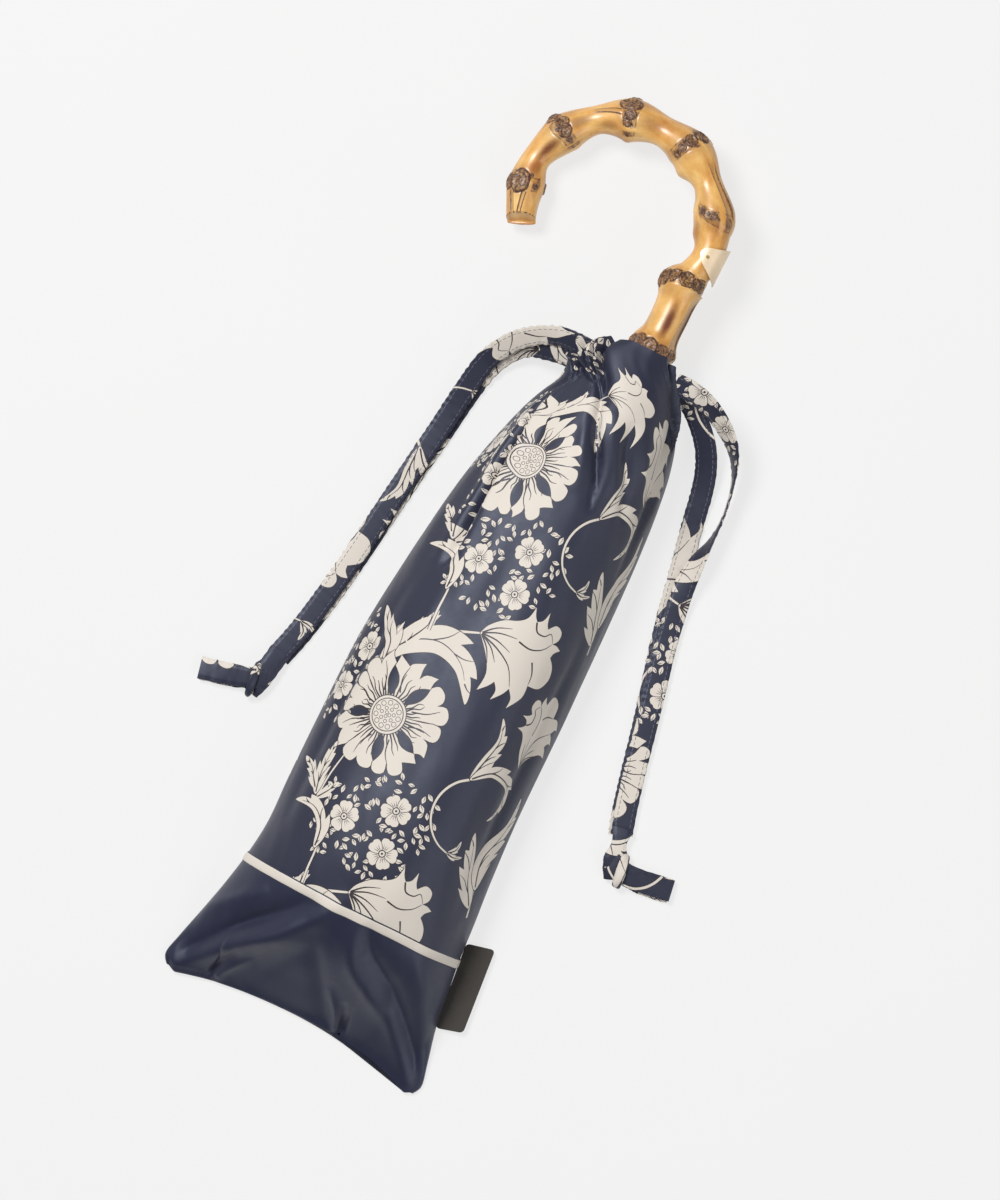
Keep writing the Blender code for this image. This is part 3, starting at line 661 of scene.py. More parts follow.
def floral_repeat(cloth, flat, seed):
    """One repeat of the print. flat(x, y) gives the cloth's own place for a point of the plan."""
    def at(*points):
        return [flat(*p) for p in points]

    spots = at((-26.2, -72.5), (-7.8, -60.6), (-5.0, -79.1))
    leaf_scatter(cloth, spots, seed)
    edge_spots = at((-50.6, -4.6), (-53.0, -24.4))
    leaf_scatter(cloth, edge_spots, seed + 1)
    for k, spot in enumerate(spots + edge_spots):
        small_blossom(cloth, spot, 0.6 + 1.7 * k)
    scroll = [turn_point((17.0, 0.0), math.radians(a), flat(20.5, -50.0)) for a in range(118, 280, 18)]
    stem(cloth, scroll, 1.0)
    feather(cloth, [scroll[0]] + at((15.5, -25.0), (17.0, -15.0), (14.0, -6.0)), 6.2, 4, -0.35)
    leaf = [scroll[0]] + at((21.0, -28.5), (30.0, -31.5), (31.5, -40.0), (28.0, -47.5))
    feather(cloth, leaf, 7.0, 5, 0.4)
    tip = scroll[-1]
    feather(cloth, [tip, (tip[0] + 3.5, tip[1] + 3.0), (tip[0] + 4.0, tip[1] + 7.0)], 2.6, 2)
    feather(cloth, [tip, (tip[0] + 4.0, tip[1] - 0.5), (tip[0] + 8.5, tip[1] + 1.0)], 2.4, 2)
    stem(cloth, at((-28.0, 13.5), (-19.0, 18.0), (-10.5, 21.5)), 1.3)
    tulip(cloth, flat(-10.5, 21.7), 0.10)
    feather(cloth, at((-43.0, -8.0), (-36.0, 4.0), (-24.0, 10.5), (-11.0, 5.5), (-2.5, -8.0)), 17.0, 5, 0.2)
    feather(cloth, at((-41.0, -7.0), (-42.5, 2.0), (-48.0, 7.0), (-51.0, 14.0)), 9.5, 3, -0.3)
    feather(cloth, at((-36.0, 4.0), (-31.5, 13.0), (-29.5, 22.0)), 8.0, 2, 0.2)
    big_blossom(cloth, flat(-29.3, -26.5), seed + 5, turned=0.25)
    tulip(cloth, flat(31.0, -22.0), math.radians(95), 0.88, 0.82)
    stem(cloth, at((39.0, -88.0), (36.5, -75.0), (34.5, -62.0)), 1.2)
    feather(cloth, at((38.0, -84.0), (33.0, -72.0), (26.0, -54.0)), 11.0, 4, 0.3)
    feather(cloth, at((37.0, -76.0), (35.0, -62.0), (37.5, -46.0), (37.0, -33.0)), 12.0, 5, -0.2)
    stem(cloth, at((-29.0, -108.5), (-30.0, -99.0), (-31.0, -88.0), (-35.0, -77.0)), 1.0)
    feather(cloth, at((-31.5, -90.0), (-33.5, -80.0), (-40.0, -74.5), (-48.5, -76.0)), 7.0, 3, -0.3)
    stem(cloth, at((-40.5, -70.0), (-39.6, -60.0), (-38.0, -50.0)), 1.0)
    feather(cloth, at((-41.5, -70.0), (-43.5, -60.0), (-43.0, -46.0)), 8.5, 4)
    feather(cloth, at((-42.5, -68.0), (-47.5, -62.0), (-52.5, -58.0)), 7.0, 3)
    feather(cloth, at((-40.5, -71.0), (-37.0, -66.0), (-34.5, -61.0)), 5.0, 2)


def flat_repeat(cloth, k, shift, seed, turned=0.0):
    """The print's repeat k on cloth that lies flat, moved by shift and then turned."""
    def flat(x, y):
        return turn_point((x * PRINT_STRETCH + shift[0], y + shift[1] + REPEAT * k), turned)

    floral_repeat(cloth, flat, seed)


def printed_cloth(shapes, domain, inner):
    """Triangles of the flat cloth, each with the topmost colour over it.

    domain is the cloth's outline, and inner holds the inner points that let it curve.
    """
    points = [Vector(p) for p in domain]
    faces = [list(range(len(points)))]
    colours = [NAVY]
    low, high = np.min(domain, axis=0) - 2.0, np.max(domain, axis=0) + 2.0
    for outline, colour in shapes:
        p = anticlockwise(outline)
        if (p.max(axis=0) < low).any() or (p.min(axis=0) > high).any():
            continue
        # a face is filled from its first edge, so that is its longest one, clear of any corner's knot
        longest = int(np.argmax(np.linalg.norm(np.roll(p, -1, axis=0) - p, axis=1)))
        faces.append(list(range(len(points), len(points) + len(p))))
        points += [Vector(q) for q in np.roll(p, -longest, axis=0)]
        colours.append(colour)
    points += [Vector(q) for q in inner]
    out = mathutils.geometry.delaunay_2d_cdt(points, [], faces, 0, CDT_EPSILON)
    vertices, triangles, owners = out[0], out[2], out[5]
    kept = [(t, colours[max(o)]) for t, o in zip(triangles, owners) if o and 0 in o]
    return vertices, [t for t, _ in kept], [c for _, c in kept]


def border(low_s, high_s, low_t, high_t, step):
    """The points of a rectangle's outline, anticlockwise."""
    across = max(int((high_s - low_s) / step), 2)
    along = max(int((high_t - low_t) / step), 2)
    s = [low_s + (high_s - low_s) * i / across for i in range(across + 1)]
    t = [low_t + (high_t - low_t) * i / along for i in range(along + 1)]
    return (
        [(v, low_t) for v in s] + [(high_s, v) for v in t[1:]]
        + [(v, high_t) for v in s[-2::-1]] + [(low_s, v) for v in t[-2:0:-1]]
    )


def grid_points(low_s, high_s, low_t, high_t, step_s, step_t):
    """Inner points of a rectangle, slightly staggered."""
    s = np.arange(low_s + step_s / 2, high_s - step_s / 3, step_s)
    t = np.arange(low_t + step_t / 2, high_t - step_t / 3, step_t)
    return [(a + (k % 2) * step_s * 0.4, b) for k, b in enumerate(t) for a in s]


def laid_cloth(surface, cloth, step, grid_steps, low_t=None, finer=()):
    """Printed cloth laid on its surface: points, triangles, colours and normals.

    step is that of its outline's points, and grid_steps are those of its inner points across and
    along. finer holds more inner points. The cloth starts at low_t, or at the surface's first row.
    """
    box = surface.s[0], surface.s[-1], surface.t[0] if low_t is None else low_t, surface.t[-1]
    inner = grid_points(*box, *grid_steps) + list(finer)
    vertices, triangles, colours = printed_cloth(cloth.layers(), border(*box, step), inner)
    s, t = np.array([tuple(v) for v in vertices]).T
    return surface.at(s, t), triangles, colours, surface.normal(s, t)


# ------------------------------------------------------------------------ pouch
# stations of y, left, right, top, edge height and bottom: part.py's, with a fuller bunched mouth
POUCH = (
    (160.0, -20.0, 11.0, 34.6, 22.5, 10.2),
    (157.0, -24.5, 12.2, 35.4, 22.2, 9.4),
    (153.0, -27.5, 14.6, 36.8, 21.0, 8.0),
    (147.0, -29.0, 18.6, 39.0, 17.0, 5.0),
    (141.0, -28.8, 22.4, 41.4, 12.0, 3.0),
    (134.0, -30.2, 25.4, 43.8, 6.5, 0.6),
    (126.0, -33.2, 28.5, 45.4, 2.4, 0.1),
    (110.0, -39.1, 32.1, 45.8, 1.4, 0.1),
    (80.0, -46.5, 35.2, 45.8, 1.3, 0.1),
    (40.0, -52.1, 37.2, 45.8, 1.3, 0.1),
    (0.0, -55.6, 38.6, 45.8, 1.3, 0.1),
    (-40.0, -55.6, 39.6, 45.8, 1.3, 0.1),
    (-70.0, -55.0, 41.4, 45.6, 1.3, 0.1),
    (-90.0, -54.2, 43.4, 44.4, 1.3, 0.1),
    (-107.0, -55.8, 44.8, 40.2, 1.3, 0.1),
    (-122.0, -58.6, 47.0, 34.0, 1.2, 0.1),
    (-135.0, -62.0, 49.0, 24.5, 1.1, 0.1),
    (-147.0, -65.5, 52.5, 12.5, 1.0, 0.1),
    (-154.6, -67.6, 54.7, 4.6, 1.0, 0.1),
    (-158.0, -65.2, 52.6, 1.9, 1.0, 0.2),
)
HEM_BOW_LEFT = 8.6
HEM_BOW_RIGHT = 10.4
HEM_BOW_FROM = -118.0
HEM_CORNER_FROM = 0.92  # share of the half width from which the closed end's corners are rounded
HEM_CORNER_DROP = 3.0
BUNCHED_FROM = 118.0  # cloth coordinates between which the cloth goes from even to bunched
BUNCHED_AT = 172.0
RIM_DROP_FROM = 128.0
CLOTH_LEFT = 79.0  # flat cloth from the ridge over the shaft to the left fold
CLOTH_RIGHT = 67.0  # and to the seam on the right
CLOTH_UNDER = 95.0  # and back underneath, from the left fold to the seam
HEM_LOW = -158.0  # cloth coordinate of the closed end
CLOTH_LOW = -106.6  # where the print starts, under the piping
CLOTH_HIGH = 180.0  # cloth coordinate of the mouth's rim
GATHER_FROM = 100.0  # above this y the cloth is drawn together lengthways too
GATHER_SHARE = 0.752
SURFACE_COLUMNS = 301
SURFACE_ROWS = 261
SECTION_STEPS = 96
POUCH_ROWS = np.array(smooth_line(POUCH, 6))[::-1]


def pouch_values(y):
    """Columns left, right, top, edge and bottom of the pouch at these y."""
    return [np.interp(y, POUCH_ROWS[:, 0], POUCH_ROWS[:, k]) for k in range(1, 6)]


def pouch_section(y, angle):
    """Points of the smooth pouch at y and at this angle: 0 is the right edge, pi the left one."""
    left, right, top, edge, bottom = pouch_values(y)
    reach, lift = np.cos(angle), np.sin(angle)
    x = reach * np.where(reach > 0, right, -left)
    over = (edge + 0.5) + (top - edge - 0.5) * np.maximum(lift, 0.0)
    under = (edge - 0.5) - (edge - 0.5 - bottom) * np.minimum(np.abs(lift) * 1.6, 1.0)
    return np.stack((x, np.broadcast_to(y, x.shape), np.where(lift >= 0, over, under)), axis=-1)


def section_arcs(y):
    """Angles, and lengths along the section from the ridge, for the right, left and lower part."""
    arcs = []
    for first, last in ((math.pi / 2, 0.0), (math.pi / 2, math.pi), (math.pi, 2 * math.pi)):
        angle = np.linspace(first, last, SECTION_STEPS)
        points = pouch_section(np.full(SECTION_STEPS, float(y)), angle)
        arcs.append((angle, run_along(points)))
    return arcs


def cloth_y(t):
    return np.where(t < GATHER_FROM, t, GATHER_FROM + (t - GATHER_FROM) * GATHER_SHARE)


def flat_place(x, y):
    """The cloth's own coordinates of the point that shows at (x, y) in the plan of the pouch."""
    t = y if y < GATHER_FROM else GATHER_FROM + (y - GATHER_FROM) / GATHER_SHARE
    left, right = (float(v) for v in pouch_values(np.array(float(y)))[:2])
    half, cloth, arc = (right, CLOTH_RIGHT, 0) if x >= 0 else (-left, CLOTH_LEFT, 1)
    angle, run = section_arcs(y)[arc]
    share = math.acos(min(abs(x) / half, 1.0))
    seen = abs(math.pi / 2 - share)
    length = float(np.interp(seen, np.abs(angle - math.pi / 2), run))
    return math.copysign(length / run[-1] * cloth, x), t


# how the cloth is spread round the rim of the mouth: cloth coordinate, and share of the rim
RIM_CLOTH = (-174.0, -79.0, -34.0, -13.0, 33.0, 55.0, 67.0)
RIM_PLACE = (-58.9, -20.5, -14.5, -9.5, 13.5, 17.5, 19.7)

# pleats that run down from the mouth: cloth coordinate at the rim and at the lower end,
# where it ends, depth and half width
PLEATS = (
    (-12.0, -14.0, 112.0, -3.2, 2.4),
    (-66.0, -68.0, 104.0, -3.0, 5.0),
    (39.0, 36.0, 106.0, -4.2, 2.8),
    (46.0, 43.0, 112.0, 2.6, 2.8),
    (54.0, 50.0, 104.0, -2.4, 2.6),
)
# long soft folds of the body: points of the plan, depth and half width
FOLDS = (
    (((-12.5, 146.0), (-9.8, 129.0), (-5.7, 118.0), (-0.6, 110.0), (4.0, 100.0), (7.0, 86.0)), -4.8, 2.2),
    (((-14.0, 128.0), (-10.0, 116.0), (-5.0, 104.0), (0.0, 92.0)), 1.2, 4.0),
    (((5.0, 130.0), (10.0, 117.0), (17.0, 103.0), (22.0, 88.0)), -2.4, 4.0),
    (((-3.0, 130.0), (6.0, 113.0), (13.0, 97.0)), 1.2, 4.5),
    (((13.0, 128.0), (21.0, 110.0), (27.0, 94.0)), 1.2, 4.5),
    (((25.0, 132.0), (28.0, 112.0), (30.0, 90.0), (31.0, 64.0)), -2.2, 4.5),
    (((8.0, 76.0), (13.0, 30.0), (18.0, -20.0), (22.0, -70.0)), 1.6, 11.0),
    (((-10.0, 90.0), (-14.0, 40.0), (-15.0, 0.0), (-10.0, -56.0)), -1.5, 11.0),
    (((-30.0, 40.0), (-34.0, 0.0), (-36.0, -50.0)), 1.4, 9.0),
    (((-46.0, 30.0), (-49.0, 0.0), (-50.0, -36.0), (-48.0, -90.0)), -2.4, 5.0),
    (((29.0, 50.0), (32.0, 0.0), (33.0, -50.0), (35.0, -96.0)), -2.6, 6.0),
    # the closed end: creases that run in from its two corners
    (
        ((-66.0, -163.0), (-59.0, -153.0), (-46.0, -143.0), (-28.0, -128.0), (-15.0, -114.0),
         (-8.0, -100.0)), 4.2, 6.5,
    ),
    (((-64.0, -152.0), (-57.0, -147.0), (-44.0, -133.0), (-32.0, -121.0), (-20.0, -108.0)), -4.0, 4.6),
    (((-62.0, -136.0), (-52.0, -126.0), (-40.0, -114.0)), 1.8, 5.0),
    (((-2.0, -108.0), (2.0, -122.0), (10.0, -131.0), (33.0, -144.0), (54.0, -162.0)), 2.4, 5.0),
    (((4.0, -106.0), (10.0, -119.0), (29.0, -132.0), (49.0, -149.0), (56.0, -158.0)), -3.0, 4.4),
    (((24.0, -108.0), (36.0, -124.0), (48.0, -142.0)), 1.6, 6.0),
    (((-21.0, -114.0), (-10.0, -132.0), (2.0, -150.0), (8.0, -160.0)), -2.0, 6.0),
    (((-33.0, -143.0), (-41.0, -151.0), (-45.0, -163.0)), 1.5, 2.4),
    (((-39.0, -141.0), (-45.0, -150.0), (-47.8, -163.0)), -1.5, 1.8),
    (((0.0, -141.0), (8.5, -150.0), (12.2, -163.0)), 1.6, 2.4),
    (((9.0, -143.0), (13.0, -152.0), (15.0, -163.0)), -1.6, 1.8),
    (((-60.0, -150.0), (-46.0, -139.0), (-28.0, -131.0), (-6.0, -124.0)), 2.0, 7.0),
    (((-30.0, -156.0), (-24.0, -143.0), (-16.0, -131.0), (-10.0, -118.0)), -1.0, 6.0),
    (((22.0, -157.0), (27.0, -146.0), (26.0, -132.0), (20.0, -116.0)), -1.0, 7.0),
)


def along_line(s, t, line):
    """Signed distance from a line on the cloth, and the share of the way along it, of each point."""
    best = np.full(s.shape, 1e9)
    side = np.zeros(s.shape)
    share = np.zeros(s.shape)
    count = len(line) - 1
    for k, (a, b) in enumerate(zip(line, line[1:])):
        d = (b[0] - a[0], b[1] - a[1])
        size = d[0] ** 2 + d[1] ** 2
        w = np.clip(((s - a[0]) * d[0] + (t - a[1]) * d[1]) / size, 0.0, 1.0)
        ds, dt = s - a[0] - w * d[0], t - a[1] - w * d[1]
        gap = np.hypot(ds, dt)
        nearer = gap < best
        best = np.where(nearer, gap, best)
        side = np.where(nearer, np.sign(ds * d[1] - dt * d[0]), side)
        share = np.where(nearer, (k + w) / count, share)
    return best * side, share


def cloth_line(points):
    """A smooth line on the cloth through points of the plan."""
    return smooth_line([flat_place(*p) for p in points], 5)


def fold_height(s, t):
    """How far the folds move the cloth out from the smooth pouch."""
    height = np.zeros(s.shape)
    for points, depth, width in FOLDS:
        line = cloth_line(points)
        gap, share = along_line(s, t, line)
        fade = np.sin(math.pi * np.clip(share, 0.0, 1.0)) ** 0.95
        crest = 1.0 / (1.0 + (gap / width) ** 2) ** 1.6
        height += depth * fade * crest
    return height


def pleat_height(s, t):
    """How far the gathers of the mouth move the cloth in and out."""
    height = np.zeros(s.shape)
    for rim, low, end, depth, width in PLEATS:
        reach = np.clip((t - end) / (CLOTH_HIGH - end), 0.0, 1.0)
        centre = low + (rim - low) * reach
        half = width * (1.0 + 1.3 * (1 - reach))
        crest = np.exp(-np.abs((s - centre) / half) ** 1.5)
        fade = smoothstep(0.0, 0.75, reach) * (1.0 - 0.25 * smoothstep(0.8, 1.0, reach))
        height += depth * fade * crest
    under = np.where(s < -CLOTH_LEFT, 1.0, 0.0) * smoothstep(132.0, 172.0, t)
    height += under * 2.2 * np.sin(2 * math.pi * s / 10.5)
    return height


# how far the mouth's rim comes down: cloth coordinate and drop
RIM_DROP = (
    (-174.0, 4.0), (-120.0, 7.0), (-79.0, 9.5), (-58.0, 7.6), (-40.0, 5.4), (-22.0, 4.2), (-12.0, 3.0),
    (0.0, 0.6), (32.0, 0.6), (46.0, 2.6), (67.0, 4.6),
)


def rim_drop(s):
    return np.interp(s, *zip(*RIM_DROP))


# small tucks caught in the seam of the closed end: place and depth
HEM_NOTCHES = ((-46.4, 1.9), (13.4, 2.1))


def hem_bow(x, y):
    """How far the closed end's corners reach past its middle, less its two tucks."""
    left, right = pouch_values(y)[:2]
    depth = np.clip((HEM_BOW_FROM - y) / (HEM_BOW_FROM - HEM_LOW), 0.0, 1.0)
    share = np.abs(x) / np.where(x > 0, right, -left)
    bow = np.where(x > 0, HEM_BOW_RIGHT, HEM_BOW_LEFT)
    corner = HEM_CORNER_DROP * smoothstep(HEM_CORNER_FROM, 1.0, share)
    notch = sum(size * np.exp(-np.abs((x - place) / 1.4) ** 1.3) for place, size in HEM_NOTCHES)
    return depth**2 * (bow * share**2.5 - corner - notch)


def pouch_points(s, t):
    """The pouch's printed cloth over its flat coordinates."""
    rows = []
    for j, height in enumerate(t[:, 0]):
        y = float(cloth_y(height))
        (right_angle, right_run), (left_angle, left_run), (under_angle, under_run) = section_arcs(y)
        total_r, total_l, total_u = right_run[-1], left_run[-1], under_run[-1]
        even = np.interp(
            s[j], (-CLOTH_LEFT - CLOTH_UNDER, -CLOTH_LEFT, 0.0, CLOTH_RIGHT),
            (-total_l - total_u, -total_l, 0.0, total_r),
        )
        scale = (total_r + total_l + total_u) / (RIM_PLACE[-1] - RIM_PLACE[0])
        shift = total_r - RIM_PLACE[-1] * scale
        bunched = np.interp(s[j], RIM_CLOTH, RIM_PLACE) * scale + shift
        mix = smoothstep(BUNCHED_FROM, BUNCHED_AT, height)
        arc = even * (1 - mix) + bunched * mix
        angle = np.where(
            arc >= 0, np.interp(arc, right_run, right_angle),
            np.where(arc >= -total_l, np.interp(-arc, left_run, left_angle),
                     np.interp(-arc - total_l, under_run, under_angle)),
        )
        rows.append(pouch_section(np.full(len(angle), y), angle))
    points = np.array(rows)
    points[..., 1] -= rim_drop(s) * smoothstep(RIM_DROP_FROM, CLOTH_HIGH, t)
    points[..., 1] -= hem_bow(points[..., 0], points[..., 1])
    return points


# gathers that spread upwards from one point: the point on the cloth, the way they lean and half the
# angle they fill in degrees, ridges per radian, depth and phase
FANS = (
    ((-17.0, 147.0), -30.0, 50.0, 8.0, 2.3, 0.4),
    ((-50.0, 140.0), -10.0, 46.0, 6.0, 2.0, 2.0),
    ((44.0, 130.0), 2.0, 24.0, 9.0, 1.3, 1.1),
    ((56.0, 128.0), 0.0, 20.0, 8.0, 0.8, 2.7),
)


def fan_height(s, t):
    """How far the gathers that spread from a point move the cloth in and out."""
    height = np.zeros(s.shape)
    for (apex_s, apex_t), lean, spread, ridges, depth, phase in FANS:
        ds, dt = s - apex_s, t - apex_t
        turn = np.arctan2(ds, np.maximum(dt, 0.01)) - math.radians(lean)
        reach = np.hypot(0.8 * ds, dt)
        drift = 0.55 * np.sin(reach / 6.3 + 2.2 * turn + phase) + 0.25 * np.sin(reach / 2.9 - 5 * turn)
        wave = np.sin(ridges * turn * 2 + 1.4 * drift + phase)
        wave += 0.55 * np.sin(ridges * turn * 3.7 - 2.0 * drift + 2 * phase)
        limit = math.radians(spread)
        fade = smoothstep(1.0, 14.0, reach) * smoothstep(limit, 0.75 * limit, np.abs(turn))
        fade *= 1.0 - 0.6 * smoothstep(CLOTH_HIGH - 8.0, CLOTH_HIGH, t)
        height += depth * fade * smoothstep(-1.0, 5.0, dt) * np.sign(wave) * np.abs(wave) ** 0.7
    return height


# the long fold down the left of the body, where the cloth laps over itself
LAP = (
    (-25.5, 138.0), (-28.4, 122.0), (-29.2, 110.0), (-30.0, 96.0), (-30.6, 80.0), (-32.0, 62.0),
    (-33.6, 38.0),
)
LAP_STRIP = (2.6, 16.0)  # the part of the cloth left of the line that lies inside the fold
LAP_BLOSSOMS = (6, 15)  # the points of the line beside which a small flower shows


def lapped(grid_s, grid_t):
    """Height of the long fold, and how far its crest leans to the left."""
    line = cloth_line(LAP)
    gap, share = along_line(grid_s, grid_t, line)
    fade = np.sin(math.pi * np.clip(share, 0.0, 1.0)) ** 0.8
    height = 1.8 * peak(gap, -1.5, 3.4) - 8.4 * peak(gap, 4.8, 2.9) + 1.6 * peak(gap, 11.5, 3.4)
    return fade * height, fade * 3.0 * peak(gap, 0.6, 3.0)


def crumple(s, t):
    """Small soft unevenness of the whole cloth."""
    height = np.zeros(s.shape)
    for index, (across, along) in enumerate(zip(s.flat, t.flat)):
        broad = mathutils.noise.noise(Vector((across / 17.0, along / 44.0, 3.1)))
        fine = mathutils.noise.noise(Vector((across / 7.0 + along / 31.0, along / 17.0, 8.7)))
        height.flat[index] = 0.85 * broad + 0.28 * fine
    return height


def pouch_surface():
    """The pouch's cloth over its flat coordinates: its smooth form, its folds and its gathers."""
    total = CLOTH_LEFT + CLOTH_UNDER + CLOTH_RIGHT
    s = np.linspace(CLOTH_RIGHT - total, CLOTH_RIGHT, SURFACE_COLUMNS)
    t = np.linspace(HEM_LOW, CLOTH_HIGH, SURFACE_ROWS)
    grid_s, grid_t = np.meshgrid(s, t)
    smooth = Surface(s, t, pouch_points(grid_s, grid_t))
    height = fold_height(grid_s, grid_t) + pleat_height(grid_s, grid_t) + fan_height(grid_s, grid_t)
    lap, lean = lapped(grid_s, grid_t)
    height += lap + crumple(grid_s, grid_t) * smoothstep(HEM_LOW, HEM_LOW + 16.0, grid_t)
    edge = smoothstep(0.0, 9.0, np.abs(grid_s + CLOTH_LEFT))
    edge = edge * smoothstep(CLOTH_RIGHT, CLOTH_RIGHT - 9.0, grid_s)
    under = smoothstep(-CLOTH_LEFT, -CLOTH_LEFT - 6.0, grid_s) * smoothstep(132.0, 112.0, grid_t)
    height *= (0.25 + 0.75 * edge) * (1 - under) * smoothstep(HEM_LOW, HEM_LOW + 2.6, grid_t)
    points = smooth.points + smooth.normals * height[..., None]
    points[..., 0] -= lean
    points[..., 2] = np.maximum(points[..., 2], 0.05)
    return Surface(s, t, points)


DRAWN_POINT = (-10.5, 142.0)  # the point of the cloth towards which the mouth's gathers draw it
DRAWN_SHARE = 0.30
DRAWN_TURN = math.radians(14.0)
DRAWN_LIFT = 4.0
RIM_BLOSSOMS = (((-42.0, 170.0), 0.4), ((-26.0, 174.0), 1.3))  # place and turn
UNDERSIDE_SHIFT = (-128.0, 60.7)


def drawn_together(point):
    """A point of the print near the mouth, moved by the gathers."""
    s, t = point
    amount = float(smoothstep(112.0, 134.0, t) * smoothstep(-62.0, -40.0, s) * smoothstep(66.0, 48.0, s))
    if amount == 0.0:
        return point
    ds, dt = s - DRAWN_POINT[0], t - DRAWN_POINT[1]
    scale = 1.0 - DRAWN_SHARE * amount
    turn = DRAWN_TURN * amount
    return (
        DRAWN_POINT[0] + scale * (ds * math.cos(turn) - dt * math.sin(turn)),
        DRAWN_POINT[1] + DRAWN_LIFT * amount + scale * (ds * math.sin(turn) + dt * math.cos(turn)),
    )


def lap_print(cloth):
    """The strip of small leaves that shows inside the long fold, where the cloth laps over."""
    rng = random.Random(SEED + 20)
    line = cloth_line(LAP)
    line = [p for p in line if 54.0 < p[1] < 136.0]
    near = [(s - LAP_STRIP[0], t) for s, t in line]
    far = [(s - LAP_STRIP[1], t) for s, t in line[::-1]]
    cloth.shapes.append((near + far, NAVY))
    blossoms = [(line[k][0] - 8.0, line[k][1]) for k in LAP_BLOSSOMS]
    taken = list(blossoms)
    for _ in range(600):
        s, t = line[rng.randrange(1, len(line) - 1)]
        spot = s - rng.uniform(4.2, LAP_STRIP[1] - 1.6), t + rng.uniform(-2.4, 2.4)
        near_flower = min(math.dist(spot, b) for b in blossoms)
        if near_flower > 6.6 and min(math.dist(spot, p) for p in taken) > 3.3:
            taken.append(spot)
            small_leaf(cloth, spot, rng.uniform(0.0, 2 * math.pi), 3.2)
    for spot in blossoms:
        small_blossom(cloth, spot, rng.uniform(0.0, 2 * math.pi), 5.4)


def pouch_print():
    """The print of the pouch's upper side, of the lap and the rim, and of the underside."""
    cloth = Print()
    for k in (-1, 0, 1):
        floral_repeat(cloth, lambda x, y: flat_place_repeat(x, y, k), SEED + k)
    for layer in (cloth.ground, cloth.shapes):
        layer[:] = [([drawn_together(p) for p in outline], colour) for outline, colour in layer]
    lap_print(cloth)
    leaf_scatter(cloth, tuple(spot for spot, _ in RIM_BLOSSOMS), SEED)
    for spot, turned in RIM_BLOSSOMS:
        small_blossom(cloth, spot, turned)
    for k in (-1, 0, 1):
        flat_repeat(cloth, k, UNDERSIDE_SHIFT, SEED + 10 + k)
    return cloth


def flat_place_repeat(x, y, k):
    """A point of the print's repeat k: the shapes of the middle repeat, moved along the cloth."""
    s, t = flat_place(x, y)
    return s, t + REPEAT * k


def printed_pouch():
    """The pouch's printed cloth, with finer points at the gathers and along the lap."""
    surface = pouch_surface()
    finer = grid_points(surface.s[0], surface.s[-1], 112.0, surface.t[-1], 1.1, 2.0)
    finer += grid_points(-60.0, -32.0, 38.0, 112.0, 0.9, 2.2)
    laid = laid_cloth(surface, pouch_print(), 2.0, (2.4, 2.6), CLOTH_LOW, finer)
    piece = printed_piece("pouch_cloth", laid, "pouch")
    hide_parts("pouch_body", "pouch_mouth")
    return piece, surface


# --------------------------------------------------------- hem, piping and label
HEM_TOP = -108.4
# the piping's rows: cloth coordinate, and how far they stand proud of the cloth
PIPING_ROWS = (
    (-110.1, -0.3), (-109.8, 0.1), (-109.5, 0.22), (-109.2, 0.42), (-108.6, 0.55), (-107.5, 0.58),
    (-106.4, 0.55), (-105.8, 0.42), (-105.5, 0.22), (-105.1, -0.3),
)
LABEL = ((44.0, -98.4), (56.2, -95.4), (60.0, -132.8), (48.6, -136.2))
LABEL_Z = 1.6
CORNER_STEPS = 6
SOFT_ANGLE = math.radians(40.0)  # edges sharper than this are softened


def band_of(surface, s, t, proud):
    """Points of the pouch's surface over these s and t, each row moved out by its proud."""
    grid_s, grid_t = (grid.reshape(-1) for grid in np.meshgrid(s, t))
    out = np.repeat(np.asarray(proud), len(s))[:, None]
    points = surface.at(grid_s, grid_t) + surface.normal(grid_s, grid_t) * out
    points[:, 2] = np.maximum(points[:, 2], 0.02)
    return points


def round_the_pouch(surface, columns):
    """Cloth coordinates evenly spaced all round the pouch."""
    return np.linspace(surface.s[0], surface.s[-1], columns, endpoint=False)


def hem_panel(surface):
    """The plain panel across the closed end, sewn flat along its far edge."""
    s = round_the_pouch(surface, 320)
    t = np.linspace(HEM_LOW, HEM_TOP, 90)
    faces = grid_faces(len(t), len(s), closed=True)
    count = len(s)
    fold = int(np.argmin(np.abs(s + CLOTH_LEFT)))
    for i in range(min(count - fold, fold)):
        a, b = (fold + i) % count, (fold + i + 1) % count
        c, d = (fold - i - 1) % count, (fold - i) % count
        faces.append((d, c, b, a))
    points = band_of(surface, s, t, np.zeros(len(t)))
    piece = make_piece("hem_panel", points, faces, ("hem_navy",), "pouch")
    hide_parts("pouch_hem")
    return piece


def piping(surface):
    """The cream band between print and hem, with painted shade along each edge's seam."""
    s = round_the_pouch(surface, 360)
    t, proud = zip(*PIPING_ROWS)
    faces = grid_faces(len(t), len(s), closed=True)
    # the rows of the flanks that dip into the seams get painted shade
    seam_shade_rows = (0, 1, len(t) - 3, len(t) - 2)
    colours = [1 if k // len(s) in seam_shade_rows else 0 for k in range(len(faces))]
    piece = make_piece(
        "piping", band_of(surface, s, t, proud), faces, ("piping_cream", "thread"), "pouch",
        colours=colours,
    )
    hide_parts("pouch_piping")
    return piece


